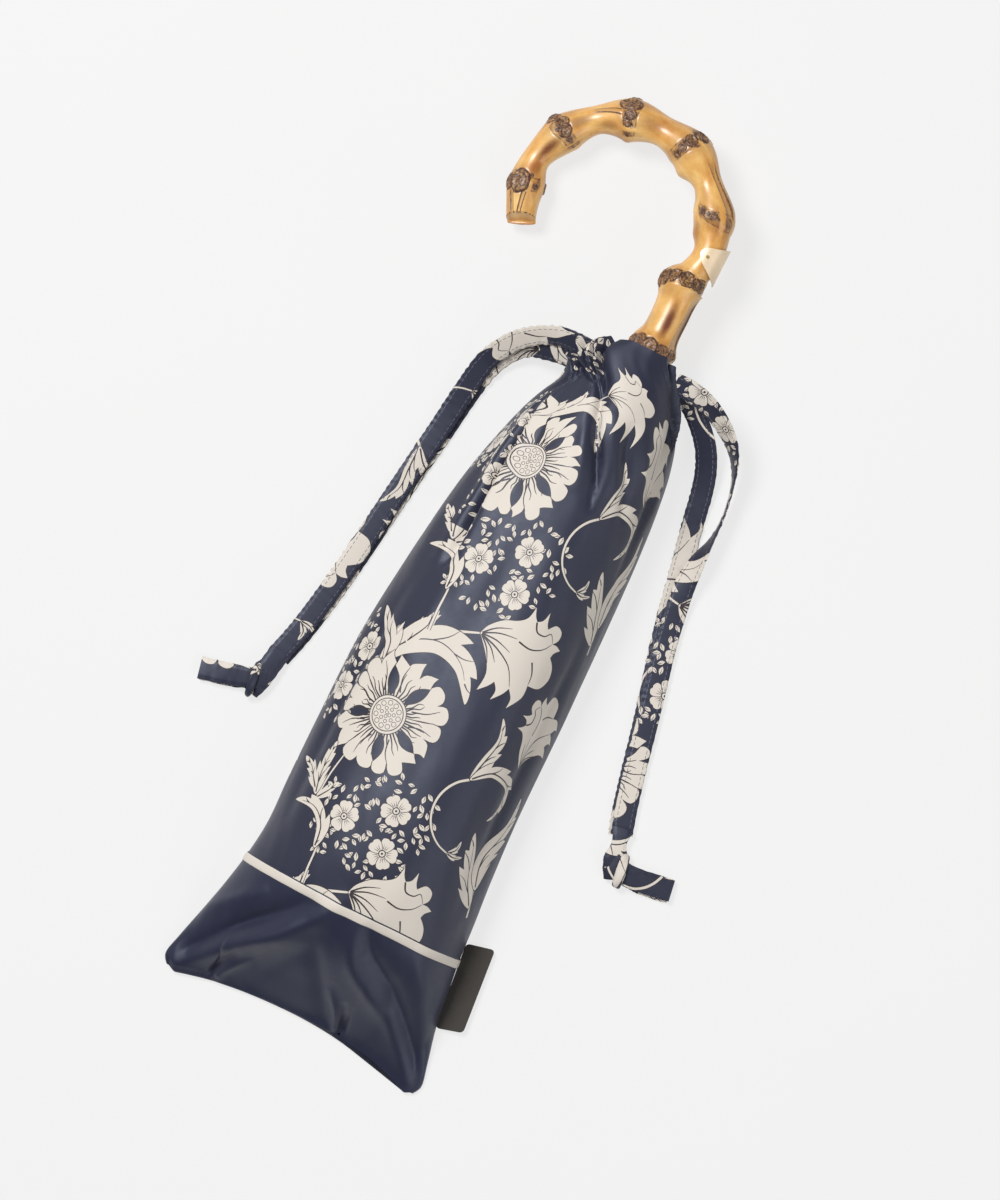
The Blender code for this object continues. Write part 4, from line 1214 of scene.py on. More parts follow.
def rounded_outline(corners, radius):
    """The outline of a polygon with rounded corners, anticlockwise."""
    corners = anticlockwise(corners)
    outline = []
    for i in range(len(corners)):
        before, here, after = (Vector(corners[(i + k) % len(corners)]) for k in (-1, 0, 1))
        start = here + (before - here).normalized() * radius
        end = here + (after - here).normalized() * radius
        for t in np.linspace(0.0, 1.0, CORNER_STEPS + 1):
            outline.append(tuple(start * (1 - t) ** 2 + here * 2 * t * (1 - t) + end * t * t))
    return outline


def slab(outline, inner, thickness, lift):
    """A thin closed sheet over a flat outline. lift(x, y) gives its middle surface in 3D."""
    flat = [Vector(p) for p in list(outline) + list(inner)]
    ring = list(range(len(outline)))
    out = mathutils.geometry.delaunay_2d_cdt(flat, [], [ring], 1, CDT_EPSILON)
    x, y = np.array([tuple(v) for v in out[0]]).T
    triangles = [tuple(f) for f in out[2]]
    middle = lift(x, y)
    step = 0.05
    normal = unit(np.cross(lift(x + step, y) - middle, lift(x, y + step) - middle))
    offset = normal * (0.5 * thickness)
    count = len(x)
    edges = {pair: True for a, b, c in triangles for pair in ((a, b), (b, c), (c, a))}
    faces = triangles + [(c + count, b + count, a + count) for a, b, c in triangles]
    faces += [(a, a + count, b + count, b) for a, b in edges if (b, a) not in edges]
    return np.vstack((middle + offset, middle - offset)), faces


def soften(piece, width):
    """Rounds the sharp edges of a piece."""
    bevel = piece.modifiers.new("soft_edges", "BEVEL")
    bevel.width = width * MM
    bevel.segments = 3
    bevel.limit_method = "ANGLE"
    bevel.angle_limit = SOFT_ANGLE
    piece.data.set_sharp_from_angle(angle=SOFT_ANGLE)


def inner_points(outline, step_x, step_y, low, high, margin):
    """Points of a grid from low to high that lie in the outline, clear of its edges."""
    return [
        (x, y)
        for x in np.arange(low[0], high[0], step_x)
        for y in np.arange(low[1], high[1], step_y)
        if inside(outline, x, y, margin)
    ]


def label():
    """The blank woven label, folded into the seam."""
    outline = rounded_outline(LABEL, 2.0)
    low = np.min(outline, axis=0) + 1.0
    high = np.max(outline, axis=0) - 0.5

    def lift(x, y):
        curl = 0.35 * np.sin((y + 96.0) / 13.0) + 0.012 * np.maximum(x - 50.0, 0.0) ** 2
        return np.stack((x, y, LABEL_Z + curl), axis=-1)

    points, faces = slab(outline, inner_points(outline, 1.2, 1.5, low, high, 0.7), 0.75, lift)
    piece = make_piece("woven_label", points, faces, ("label_cloth",), "pouch")
    soften(piece, 0.22)
    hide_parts("pouch_label")
    return piece


def inside(outline, x, y, margin):
    """True if the point is in the outline and at least margin from its edges."""
    odd = False
    count = len(outline)
    for i in range(count):
        (ax, ay), (bx, by) = outline[i], outline[(i + 1) % count]
        if (ay > y) != (by > y) and x < (bx - ax) * (y - ay) / (by - ay) + ax:
            odd = not odd
        size = (bx - ax) ** 2 + (by - ay) ** 2
        if size > 0:
            w = min(max(((x - ax) * (bx - ax) + (y - ay) * (by - ay)) / size, 0.0), 1.0)
            if math.hypot(x - ax - w * (bx - ax), y - ay - w * (by - ay)) < margin:
                return False
    return odd


# ------------------------------------------------------------------ drawstrings
STRAND_WIDTH = 9.6
STRAND_THICKNESS = 1.1
TAPE_COLUMNS = 48
TAPE_STEP = 0.7
# each route's stations: x, y, z and the tilt in degrees, from inside the mouth to the knot
LEFT_UPPER = (
    (-23.5, 148.2, 25.5, 30), (-29.8, 148.4, 24.0, 30), (-37.5, 147.6, 21.4, 32), (-46.6, 143.3, 16.6, 32),
    (-54.7, 135.9, 11.4, 26), (-60.4, 124.4, 6.4, 18), (-62.9, 108.8, 4.0, 8),
    (-64.8, 91.5, 2.6, 0), (-67.1, 72.9, 2.2, 0), (-69.4, 53.9, 2.2, 0),
    (-72.1, 31.3, 2.2, 0), (-75.1, 9.5, 2.2, 0), (-78.7, -11.2, 2.2, 0), (-82.4, -25.6, 2.2, 0),
)
LEFT_LOWER = (
    (-25.5, 142.0, 19.0, 30), (-31.6, 141.6, 16.5, 30), (-37.8, 140.6, 13.4, 30), (-47.0, 138.0, 9.0, 28),
    (-54.0, 131.0, 5.6, 22), (-58.6, 121.0, 3.0, 12), (-61.2, 107.0, 1.4, 4),
    (-63.3, 90.0, 0.8, 0), (-65.8, 71.6, 0.8, 0), (-68.2, 52.4, 0.8, 0),
    (-70.9, 30.2, 0.8, 0), (-73.9, 8.4, 0.8, 0), (-77.7, -12.2, 0.8, 0), (-81.4, -26.4, 0.8, 0),
)
RIGHT_OUTER = (
    (15.0, 151.8, 27.0, -20), (23.4, 151.6, 26.0, -20), (33.9, 149.0, 22.0, -35), (44.6, 142.7, 17.0, -50),
    (52.0, 134.7, 12.5, -70), (56.6, 124.0, 8.4, -86), (58.9, 112.0, 6.4, -88),
    (59.0, 100.6, 6.0, -78), (57.8, 90.2, 6.0, -46), (57.6, 78.0, 3.9, -14),
    (59.6, 64.5, 2.4, 0), (62.2, 50.8, 2.2, 0), (66.3, 33.9, 2.2, 0), (70.3, 17.0, 2.2, 0),
    (74.1, 0.2, 2.2, 0), (78.3, -16.5, 2.2, 0), (81.6, -27.6, 2.2, 0),
)
RIGHT_INNER = (
    (17.0, 149.6, 21.0, -24), (23.6, 147.6, 18.0, -24), (31.4, 142.0, 13.0, -22), (38.6, 134.4, 8.4, -16),
    (43.4, 125.6, 4.6, -10), (46.2, 116.4, 2.2, -4), (48.2, 106.2, 1.2, 0),
    (50.8, 94.0, 0.8, 0), (53.8, 80.0, 0.8, 0), (56.9, 65.2, 0.8, 0), (60.6, 49.2, 0.8, 0),
    (65.0, 32.6, 0.8, 0), (69.4, 15.4, 0.8, 0), (73.4, -1.6, 0.8, 0), (77.6, -18.2, 0.8, 0),
    (80.8, -28.4, 0.8, 0),
)


def tape_stations(route):
    """Rows of a route's values a fixed step apart, and the length along it of each."""
    stations = np.array(smooth_line(route, 14))
    run = run_along(stations[:, :3])
    along = np.linspace(0.0, run[-1], max(int(run[-1] / TAPE_STEP), 8))
    return np.column_stack([np.interp(along, run, column) for column in stations.T]), along


def ribbon_surface(route, thickness, seed, wave=0.40):
    """A flat sewn tape along its route, as a closed section over (around, along).

    Each station holds x, y, z, the tilt in degrees and, if it isn't STRAND_WIDTH, the width. The
    tape's edges waver by wave. Its middle line comes with it.
    """
    rng = random.Random(seed)
    rows, along = tape_stations(route)
    centre = rows[:, :3]
    width = rows[:, 4:5] if rows.shape[1] > 4 else STRAND_WIDTH
    ahead = unit(np.gradient(centre, along, axis=0))
    side = unit(np.cross(ahead, (0.0, 0.0, 1.0)))
    tilt = np.radians(rows[:, 3])[:, None]
    across = side * np.cos(tilt) + np.cross(side, ahead) * np.sin(tilt)
    face = np.cross(across, ahead)
    u = np.linspace(-math.pi, math.pi, TAPE_COLUMNS + 1)[None, :]
    flat = np.sign(np.cos(u)) * np.abs(np.cos(u)) ** 0.35
    puckers = [(rng.uniform(2.6, 6.0), rng.uniform(0, 6.28), rng.uniform(0.4, 1.0)) for _ in range(5)]
    ripple, other = (
        sum(a * np.sin(2 * math.pi * along / (w * longer) + n * p) for w, p, a in puckers)[:, None] / 3
        for longer, n in ((1.0, 1), (1.3, 2))
    )
    half = 0.5 * width * (1.0 + 0.035 * other)
    ends = np.minimum(along, along[-1] - along)[:, None]
    body = 0.5 * thickness * (0.75 + 0.25 * np.minimum(ends / 3.0, 1.0))
    stitch = 1.0 - 0.35 * peak(np.abs(flat), 0.80, 0.06)
    lift = np.sin(u) * body * stitch + wave * np.where(flat > 0, ripple, other) * np.abs(flat) ** 3
    points = (
        centre[:, None, :] + across[:, None, :] * (flat * half)[..., None]
        + face[:, None, :] * lift[..., None]
    )
    return Surface(run_along(points[0]), along, points), centre


def printed_ribbon(surface, offset, turned, seed):
    """A tape cut from the printed cloth, with its stitches."""
    cloth = Print()
    for k in (-1, 0, 1, 2):
        flat_repeat(cloth, k, offset, seed, turned)
    add_stitches(cloth, surface)
    return laid_cloth(surface, cloth, 1.2, (0.9, 1.5))


def add_stitches(cloth, surface):
    """A row of stitches near each edge of a tape, on both its faces."""
    around, high = surface.s[-1], surface.t[-1]
    for quarter in (0.25, 0.75):
        for side in (-1.0, 1.0):
            s = around * quarter + side * (0.25 * around - 1.9)
            for t in np.arange(1.0, high - 1.5, 2.3):
                dash = [(s - 0.13, t), (s + 0.13, t), (s + 0.13, t + 1.5), (s - 0.13, t + 1.5)]
                cloth.shapes.append((dash, STITCH))


KNOT_WRAP_STEPS = 28
# the knots' tapes: x, y, z, tilt and width
LEFT_ROOT = (
    (-82.0, -24.0, 2.4, 0, 9.6), (-83.2, -31.0, 3.2, 4, 9.4), (-84.8, -38.0, 3.4, 0, 10.4),
    (-86.4, -45.0, 2.2, -6, 9.0),
)
LEFT_TAIL = (
    (-82.0, -37.2, 4.4, 6, 9.0), (-88.0, -39.4, 4.6, 4, 8.6), (-95.0, -41.6, 3.8, 6, 9.4),
    (-102.0, -43.6, 3.0, 0, 9.6), (-109.4, -45.4, 2.4, -4, 9.6),
)
LEFT_UNDER_TAIL = (
    (-84.0, -38.0, 1.6, 0, 9.0), (-95.0, -42.2, 1.5, 4, 9.4), (-103.0, -44.2, 1.2, 0, 9.6),
    (-108.8, -45.6, 0.9, 0, 9.6),
)
RIGHT_ROOT = (
    (81.0, -25.0, 2.4, 0, 9.4), (82.4, -31.5, 3.2, 0, 6.4), (84.2, -38.0, 3.6, 6, 10.8),
    (87.4, -46.0, 2.2, 0, 9.0),
)
RIGHT_TAIL = (
    (82.6, -39.4, 4.4, -8, 9.0), (88.0, -41.4, 4.6, -4, 9.4), (96.0, -41.6, 3.8, -6, 9.8),
    (104.0, -40.4, 2.8, 0, 9.8), (111.4, -39.2, 2.2, 4, 9.6),
)
RIGHT_UNDER_TAIL = (
    (84.0, -40.6, 1.6, 0, 9.0), (95.0, -42.2, 1.5, 0, 9.6), (104.0, -41.4, 1.2, 0, 9.6),
    (110.8, -40.2, 0.9, 0, 9.6),
)


def wrap_surface(centre, direction, half_width, half_height, band, lean, seed):
    """The overhand turn of the knot: a band that crosses over the strands and back under them."""
    rng = random.Random(seed)
    ahead = Vector((math.cos(direction), math.sin(direction), 0.0))
    side = Vector((-ahead.y, ahead.x, 0.0))
    around = np.linspace(0.0, 1.0, KNOT_WRAP_STEPS + 1)
    rows = np.linspace(-0.5, 0.5, 17)
    bumps = [(rng.uniform(2, 4), rng.uniform(0, 6.28)) for _ in range(3)]
    points = np.zeros((len(rows), len(around), 3))
    for i in range(len(around)):
        turn = 2 * math.pi * i / KNOT_WRAP_STEPS - 0.5 * math.pi
        place = Vector(centre) + side * (half_width * math.cos(turn)) + ahead * (lean * math.cos(turn))
        place.z = centre[2] + half_height * math.sin(turn)
        squeeze = 0.80 + 0.20 * math.sin(turn) ** 2
        out = side * math.cos(turn) * 0.6 + Vector((0.0, 0.0, math.sin(turn)))
        out.normalize()
        for j, row in enumerate(rows):
            swell = 0.9 * math.cos(math.pi * row) ** 0.5 if abs(row) < 0.5 else 0.0
            ripple = 0.25 * sum(math.sin(n * turn + p + 5 * row) for n, p in bumps)
            p = place + ahead * row * band * squeeze + out * (swell + ripple * 0.5)
            points[j, i] = (p.x, p.y, max(p.z, 0.15))
    return Surface(around * 2 * math.pi * 0.5 * (half_width + half_height), rows * band, points)


def knot(name, node, tapes, wrap, offset):
    """A knot and its tails as one printed piece, in place of its CAD node.

    tapes holds route, thickness, seed and wave of each tape, and wrap is the turn round them.
    """
    parts = [ribbon_surface(*tape)[0] for tape in tapes] + [wrap_surface(*wrap)]
    pieces = []
    for index, surface in enumerate(parts):
        cloth = Print()
        for k in (-1, 0, 1):
            flat_repeat(cloth, k, (offset[0] + 17.0 * index, offset[1] + 23.0 * index), SEED)
        pieces.append(laid_cloth(surface, cloth, 0.9, (0.7, 0.7)))
    points, faces, colours, normals = zip(*pieces)
    starts = np.cumsum([0] + [len(part) for part in points])
    joined = [tuple(i + int(start) for i in t) for start, part in zip(starts, faces) for t in part]
    laid = np.vstack(points), joined, sum(colours, []), np.vstack(normals)
    piece = printed_piece(name, laid, "pouch")
    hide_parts(node)
    return piece


# each knot's tapes: route, thickness, seed and how much their edges waver
LEFT_TAPES = ((LEFT_ROOT, 2.6, 3, 0.3), (LEFT_TAIL, 1.2, 5, 0.4), (LEFT_UNDER_TAIL, 1.2, 6, 0.3))
RIGHT_TAPES = ((RIGHT_ROOT, 2.6, 2, 0.3), (RIGHT_TAIL, 1.2, 8, 0.4), (RIGHT_UNDER_TAIL, 1.2, 9, 0.3))
# the turn round the tapes: centre, direction, half width and half height, band, lean and seed
LEFT_WRAP = ((-87.0, -39.4, 3.2), math.radians(-163), 7.0, 3.1, 3.6, 1.2, 4)
RIGHT_WRAP = ((88.4, -41.4, 3.2), math.radians(-4), 6.6, 3.1, 4.6, -1.4, 7)


def drawstrings():
    """The four strands and two knots."""
    left = knot("tie_knot_left", "tie_left_knot", LEFT_TAPES, LEFT_WRAP, (4.0, 20.0))
    right = knot("tie_knot_right", "tie_right_knot", RIGHT_TAPES, RIGHT_WRAP, (-14.0, 36.0))
    strands = (
        ("left_upper", LEFT_UPPER, (0.0, 10.0), 0.04, 11, left),
        ("left_lower", LEFT_LOWER, (-20.0, 40.0), 0.02, 12, left),
        ("right_outer", RIGHT_OUTER, (24.0, -30.0), -0.03, 13, right),
        ("right_inner", RIGHT_INNER, (10.0, 64.0), 0.05, 14, right),
    )
    for name, route, offset, turned, seed, end in strands:
        surface, centre = ribbon_surface(route, STRAND_THICKNESS, seed)
        laid = printed_ribbon(surface, offset, turned, seed)
        piece = printed_piece("drawstring_" + name, laid, "pouch")
        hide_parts("tie_" + name)
        length = float(np.linalg.norm(np.diff(centre, axis=0), axis=1).sum())
        tuple(c * MM for c in route[1][:3])
        [tuple(c * MM for c in p) for p in centre]


# ----------------------------------------------------------------------- handle
CROOK = (
    (0.0, 139.0, 7.6), (0.0, 150.0, 8.0), (-0.1, 160.7, 10.4), (0.2, 168.0, 8.4),
    (0.2, 176.2, 8.2), (-0.2, 183.0, 8.5), (-0.8, 190.0, 10.1), (1.2, 196.5, 7.2),
    (3.0, 205.0, 6.8), (1.4, 214.0, 7.1), (-2.2, 222.0, 9.0), (-10.9, 233.2, 6.3),
    (-22.3, 241.4, 9.4), (-37.2, 244.4, 6.8), (-51.3, 243.0, 9.2), (-64.4, 236.5, 6.3),
    (-74.3, 225.1, 8.4), (-79.9, 211.0, 6.2), (-79.0, 199.2, 8.1), (-76.6, 190.5, 7.0),
    (-74.0, 184.0, 6.3),
)
CROOK_NODES = (2, 6, 10, 12, 14, 16, 18)  # the stations that are nodes of the bamboo
RING_SIDES = 144
RING_GAP = 0.42
BORE_R = 3.9
BORE_DEPTH = 28.0
# each node's ring of scars: how far it lies along the tube, and how far more on the outer side
NODE_TILT = ((0.0, 0.0), (1.9, 3.7), (0.0, -4.4), (2.9, -1.0), (0.3, 0.0), (-0.9, 0.0), (0.4, 0.5))
# round scars: node's index, angle round the tube (0 is the hook's outer side and 90 faces up),
# place along it from the node towards the tip, radius
EYES = (
    (0, 180, -2.0, 2.6), (0, 148, -0.6, 2.4), (0, 120, 0.2, 2.8), (0, 88, 0.2, 3.1), (0, 55, 0.4, 2.7),
    (0, 22, 0.4, 2.6), (0, 214, 0.4, 2.4), (0, 250, 0.0, 2.6), (0, 290, 0.4, 2.6), (0, 330, 0.2, 2.6),
    (1, 158, -1.4, 2.2), (1, 136, -0.6, 2.2), (1, 114, 1.6, 2.1), (1, 81, 3.0, 3.1), (1, 52, 4.2, 1.9),
    (1, 30, 5.0, 2.4), (1, 196, -0.6, 2.6), (1, 240, 0.5, 2.6), (1, 282, 2.1, 2.6), (1, 322, 4.5, 2.4),
    (2, 86, -1.2, 1.5), (2, 300, 0.0, 2.8), (2, 210, 0.0, 2.4),
    (3, 67, 2.7, 2.4), (3, 96, 3.4, 1.6), (3, 119, 3.1, 1.5), (3, 31, 1.7, 2.6), (3, 330, 0.0, 2.6),
    (4, 46, 0.6, 3.6), (4, 83, -0.3, 2.1), (4, 104, 0.5, 1.9), (4, 350, 0.0, 2.4),
    (5, 68, -2.1, 2.6), (5, 94, -1.5, 2.7), (5, 31, 0.3, 2.3), (5, 350, 0.0, 2.4),
    (6, 77, 0.0, 4.2), (6, 33, 1.2, 2.6), (6, 200, 0.6, 3.0), (6, 330, 0.0, 3.0),
)
# dark pits: node's index, angle, place along the tube, radius
PITS = (
    (5, 124, -1.1, 1.5), (2, 115, 1.8, 1.7), (2, 100, 0.2, 0.9), (4, 92, 1.6, 1.0), (4, 112, -1.2, 0.9),
    (3, 80, 4.6, 0.7), (3, 119, 3.1, 0.6), (6, 132, 1.0, 1.3), (6, 112, -3.2, 0.9), (1, 30, 5.0, 1.2),
    (5, 80, 1.4, 0.8), (0, 70, -1.8, 0.8), (0, 104, 2.2, 0.8), (1, 98, 4.2, 0.8), (4, 137, 0.8, 0.9),
)
# soft swellings: node's index, angle, place along the tube, reach, height
BUMPS = ((3, 182, -6.0, 4.6, 1.9), (2, 180, -8.6, 4.4, 1.9), (4, 170, 1.0, 3.6, 0.7), (5, 30, 1.0, 3.4, 0.8))
# grooves: index of the node it starts from, angle there, angle at its end, start and length along
# the tube, half width in degrees, depth
GROOVES = (
    (0, 24, 14, 2.0, 24.0, 16.0, 1.0),
    (2, 30, 46, -3.6, 25.0, 13.0, 1.2),
    (6, 53, 61, 3.6, 10.6, 6.0, 0.6),
    (6, 100, 86, 3.6, 10.6, 7.0, 0.7),
    (4, 78, 58, 3.0, 13.0, 8.0, -0.4),
)
# scorched patches: place along the tube from a node, angle, reach along it, reach round it, strength
SCORCHES = (
    (0, 12.6, 77, 8.0, 16, 1.0), (0, 14.0, 8, 12.0, 18, 0.70), (0, 9.0, 150, 6.0, 30, 0.35),
    (1, -3.0, 110, 5.0, 40, 0.25), (1, 12.0, 60, 6.0, 40, 0.25), (1, 26.0, 150, 6.0, 26, 0.45),
    (2, 4.0, 10, 8.0, 26, 0.50), (2, 10.0, 104, 6.0, 18, 0.30), (2, 9.0, 160, 6.0, 24, 0.30),
    (3, 12.0, 60, 6.0, 26, 0.25), (4, -9.5, 90, 6.0, 30, 0.50), (3, 7.0, 150, 5.0, 26, 0.35),
    (4, 9.0, 122, 6.0, 20, 0.55), (5, -8.0, 88, 6.5, 20, 0.60), (4, 3.5, 150, 4.0, 30, 0.4),
    (5, 9.0, 108, 8.0, 19, 0.90), (6, -7.0, 118, 5.0, 20, 0.5), (5, -4.0, 40, 5.0, 30, 0.3),
    (6, 9.0, 40, 7.0, 12, 0.35), (6, 9.0, 118, 6.0, 12, 0.3),
)
TIP_CUT_FROM = 3.4  # how far before the tip the slanted cut starts
TIP_CUT_SLOPE = 2.6
CUT_PRESS = 0.85  # how far a point over the cut is pressed down towards it
CUT_EDGE_REACH = 6.0  # the length at the tip whose cut edge is dark
# rings that close the tip: share of its reach, and how far past the last station
TIP_RINGS = ((0.985, 0.45), (0.94, 0.85), (0.86, 1.05), (0.55, 1.25), (0.22, 1.35))
BAMBOO_INSET = 0.15  # how far the mean skin lies inside the CAD radius


def crook_line():
    """Stations along the crook a fixed gap apart: centre, ahead, outer side, up, radius and run."""
    dense = np.array(smooth_line(CROOK, 24))
    height = SHAFT_Z + dense[:, 0] * math.tan(CROOK_TILT)
    centre = np.column_stack((dense[:, 0], dense[:, 1], height))
    run = run_along(centre)
    nodes = run[[24 * k for k in CROOK_NODES]]
    along = np.linspace(0.0, run[-1], int(run[-1] / RING_GAP))
    centre = np.column_stack([np.interp(along, run, column) for column in centre.T])
    radius = np.interp(along, run, dense[:, 2])
    ahead = unit(np.gradient(centre, along, axis=0))
    up = np.array((-math.sin(CROOK_TILT), 0.0, math.cos(CROOK_TILT)))
    return centre, ahead, unit(np.cross(ahead, up)), up, radius, along, nodes


def angle_gap(a, b):
    """Signed difference of angles in degrees."""
    return (a - b + 180.0) % 360.0 - 180.0


class Relief:
    """The crook's skin over (along, angle): height, scar and scorch of each of its points."""

    def __init__(self, along, angle, radius, nodes):
        self.along, self.angle, self.radius, self.nodes = along, angle, radius, nodes
        self.height, self.scar, self.scorch = (np.zeros(angle.shape) for _ in range(3))

    def _from(self, index, place, centre):
        """How far each point lies along and round the tube from a place near a node."""
        past = self.along - self.nodes[index] - place
        return past, np.radians(angle_gap(self.angle, centre)) * self.radius

    def add_node(self, index, rng):
        """A node's rough band between two rings."""
        wobble = sum(
            a * np.sin(np.radians(self.angle * n) + p)
            for n, p, a in [(k + 1, rng.uniform(0, 6.28), 1.5 / (k + 1)) for k in range(6)]
        )
        shift, tilt = NODE_TILT[index]
        gap = self.along - self.nodes[index] - shift - tilt * np.cos(np.radians(self.angle)) - 0.7 * wobble
        band = np.exp(-np.abs(gap / 2.6) ** 3)
        ring = peak(gap, -2.8, 0.40) + peak(gap, 2.9, 0.35)
        rough = sum(
            np.sin(np.radians(self.angle * n) + gap * m + p) * a
            for n, m, p, a in [
                (rng.randint(5, 22), rng.uniform(-2.6, 2.6), rng.uniform(0, 6.28), rng.uniform(0.3, 1.0))
                for _ in range(10)
            ]
        ) / 5.0
        facing = facing_share(self.angle, *NODE_SCARS[index])
        self.scar = np.maximum(self.scar, facing * np.clip(band * (0.42 + 0.42 * rough), 0.0, 1.0))
        self.scar = np.maximum(self.scar, facing * 0.8 * ring * (0.6 + 0.4 * rough))
        self.height += facing * band * 0.34 * rough - 0.30 * ring * (0.25 + 0.75 * facing)
        self.height += 0.25 * band
        self.scorch = np.maximum(self.scorch, 0.38 * facing * np.exp(-np.abs(gap / 6.5) ** 2.4))

    def add_eye(self, index, centre, place, size):
        """A round scar with a raised rim and a hollow."""
        past, across = self._from(index, place, centre)
        turned = np.arctan2(across, past)
        uneven = 1.0 + 0.07 * np.sin(2 * turned + centre) + 0.03 * np.sin(5 * turned + 2 * centre)
        far = np.hypot(past, across) / (size * uneven)
        rim = peak(far, 0.86, 0.17)
        cup = np.exp(-(far / 0.62) ** 4)
        line = peak(far, 1.10, 0.10) + 0.3 * peak(far, 0.62, 0.10)
        self.height = np.where(far < 1.0, self.height * 0.35, self.height)
        self.height += 0.55 * rim - 0.25 * cup + 0.30 * peak(far, 0.0, 0.28) - 0.30 * line
        grain = np.sin(5.1 * far + 3.0 * turned + centre) * np.sin(7.0 * turned - 4.0 * far + 2 * centre)
        self.scar = np.where(far < 0.98, self.scar * 0.3 + 0.42 + 0.22 * grain, self.scar)
        self.scar = np.maximum(self.scar, np.clip(0.95 * line, 0.0, 1.0))

    def add_pit(self, index, centre, place, size):
        past, across = self._from(index, place, centre)
        pit = np.exp(-(np.hypot(0.8 * past, across) / size) ** 3)
        self.scar = np.maximum(self.scar, pit)
        self.height -= 0.45 * pit

    def add_bump(self, index, centre, place, size, lift):
        past, across = self._from(index, place, centre)
        self.height += lift * peak(np.hypot(past, 0.7 * across), 0.0, size)

    def add_groove(self, index, first, last, start, length, width, depth):
        """A groove with lips, or a ridge if its depth is negative, along the tube."""
        share = (self.along - self.nodes[index] - start) / length
        gap = angle_gap(self.angle, first + (last - first) * share) / width
        fade = smoothstep(-0.05, 0.12, share) * smoothstep(1.06, 0.80, share)
        floor = 1.0 / (1.0 + np.abs(gap) ** 5)
        lips = peak(np.abs(gap), 1.15, 0.26)
        self.height += fade * depth * (0.28 * lips - floor * 0.8)
        dark = np.exp(-(((np.abs(gap) - 0.92) * width / 2.3) ** 2))
        self.scar = np.maximum(self.scar, fade * 0.72 * dark)
        self.scorch = np.maximum(self.scorch, fade * 0.30 * floor)

    def add_scorch(self, index, place, centre, reach, spread, strength):
        past = (self.along - self.nodes[index] - place) / reach
        gap = past**2 + (angle_gap(self.angle, centre) / spread) ** 2
        self.scorch = np.maximum(self.scorch, strength * np.exp(-gap**1.3))


def crook_relief(along, angle, nodes, radius, rng):
    """The crook's relief with all its marks, each kind over the ones before it."""
    relief = Relief(along, angle, radius, nodes)
    for index in range(len(nodes)):
        relief.add_node(index, rng)
    marks = (
        (relief.add_eye, EYES), (relief.add_pit, PITS), (relief.add_bump, BUMPS),
        (relief.add_groove, GROOVES), (relief.add_scorch, SCORCHES),
    )
    for add_mark, places in marks:
        for mark in places:
            add_mark(*mark)
    return relief


def cut_level(along, radius):
    """Height over the tube's middle of the slanted cut at its tip."""
    past = along - (along[-1] - TIP_CUT_FROM)
    return radius * 1.02 - TIP_CUT_SLOPE * np.maximum(past, 0.0) + 4.0 * (past < -1.0)


def facing_share(angle, strength, *spans):
    """A node's strength in these (centre, half width) spans of the angle, soft outside them."""
    seen = [smoothstep(1.35, 0.75, np.abs(angle_gap(angle, c)) / w) for c, w in spans]
    return strength * np.maximum.reduce(seen)


# each node's scarred part: strength, and spans of angle round the tube as centre and half width
NODE_SCARS = (
    (0.72, (90, 400)),
    (0.66, (90, 400)),
    (1.0, (112, 18), (82, 14), (36, 14), (290, 40)),
    (1.0, (93, 42), (30, 14), (330, 30)),
    (1.0, (94, 24), (138, 8), (45, 20), (350, 30)),
    (1.0, (82, 30), (126, 13), (30, 13), (152, 8), (350, 20)),
    (1.0, (76, 34), (131, 13), (33, 16), (330, 40)),
)


def bamboo_handle():
    """The crook's swelling tube with its nodes, round scars, grooves and scorched patches."""
    centre, ahead, outer, up, radius, along, nodes = crook_line()
    angle = np.linspace(0.0, 360.0, RING_SIDES, endpoint=False)
    grid_angle, grid_along = np.meshgrid(angle, along)
    grid_radius = np.repeat(radius[:, None], RING_SIDES, axis=1)
    relief = crook_relief(grid_along, grid_angle, nodes, grid_radius, random.Random(SEED))
    turn = np.radians(grid_angle)
    size = grid_radius + relief.height - BAMBOO_INSET
    lift = size * np.sin(turn)
    past = lift - cut_level(along, radius)[:, None]
    pressed = lift - CUT_PRESS * past
    reach = np.where(past > 0, np.hypot(size * np.cos(turn), pressed), size)[..., None]
    turn_cut = np.where(past > 0, np.arctan2(pressed, size * np.cos(turn)), turn)[..., None]
    spoke = outer[:, None, :] * np.cos(turn_cut) + up[None, None, :] * np.sin(turn_cut)
    at_cut = grid_along > along[-1] - CUT_EDGE_REACH
    scar = np.maximum(relief.scar, peak(past, 0.25, 0.30) * at_cut)
    bore = bore_rows(centre, spoke)
    tip = tip_cap_rows(centre[-1], ahead[-1], spoke[-1], reach[-1])
    rows = np.concatenate((bore, centre[:, None, :] + spoke * reach, tip))
    faces = grid_faces(len(rows), RING_SIDES, closed=True)
    last = (len(rows) - 1) * RING_SIDES
    faces.append(tuple(range(RING_SIDES)))
    faces.append(tuple(last + i for i in range(RING_SIDES))[::-1])
    faces = [f[::-1] for f in faces]
    piece = make_piece("bamboo_crook", rows.reshape(-1, 3), faces, ("bamboo",), "handle")
    before, after = len(bore), len(tip)
    add_layer(piece, "scar", pad_rows(scar, before, after))
    add_layer(piece, "scorch", pad_rows(relief.scorch, before, after, 0.50))
    grain = np.stack((grid_along, 8.0 * np.sin(turn), 8.0 * np.cos(turn)), axis=-1)
    flat = np.concatenate((np.repeat(grain[:1], before, 0), grain, np.repeat(grain[-1:], after, 0)))
    layer = piece.data.attributes.new("grain", "FLOAT_VECTOR", "POINT")
    layer.data.foreach_set("vector", flat.reshape(-1).astype(np.float32))
    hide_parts("bamboo_handle")
    return piece


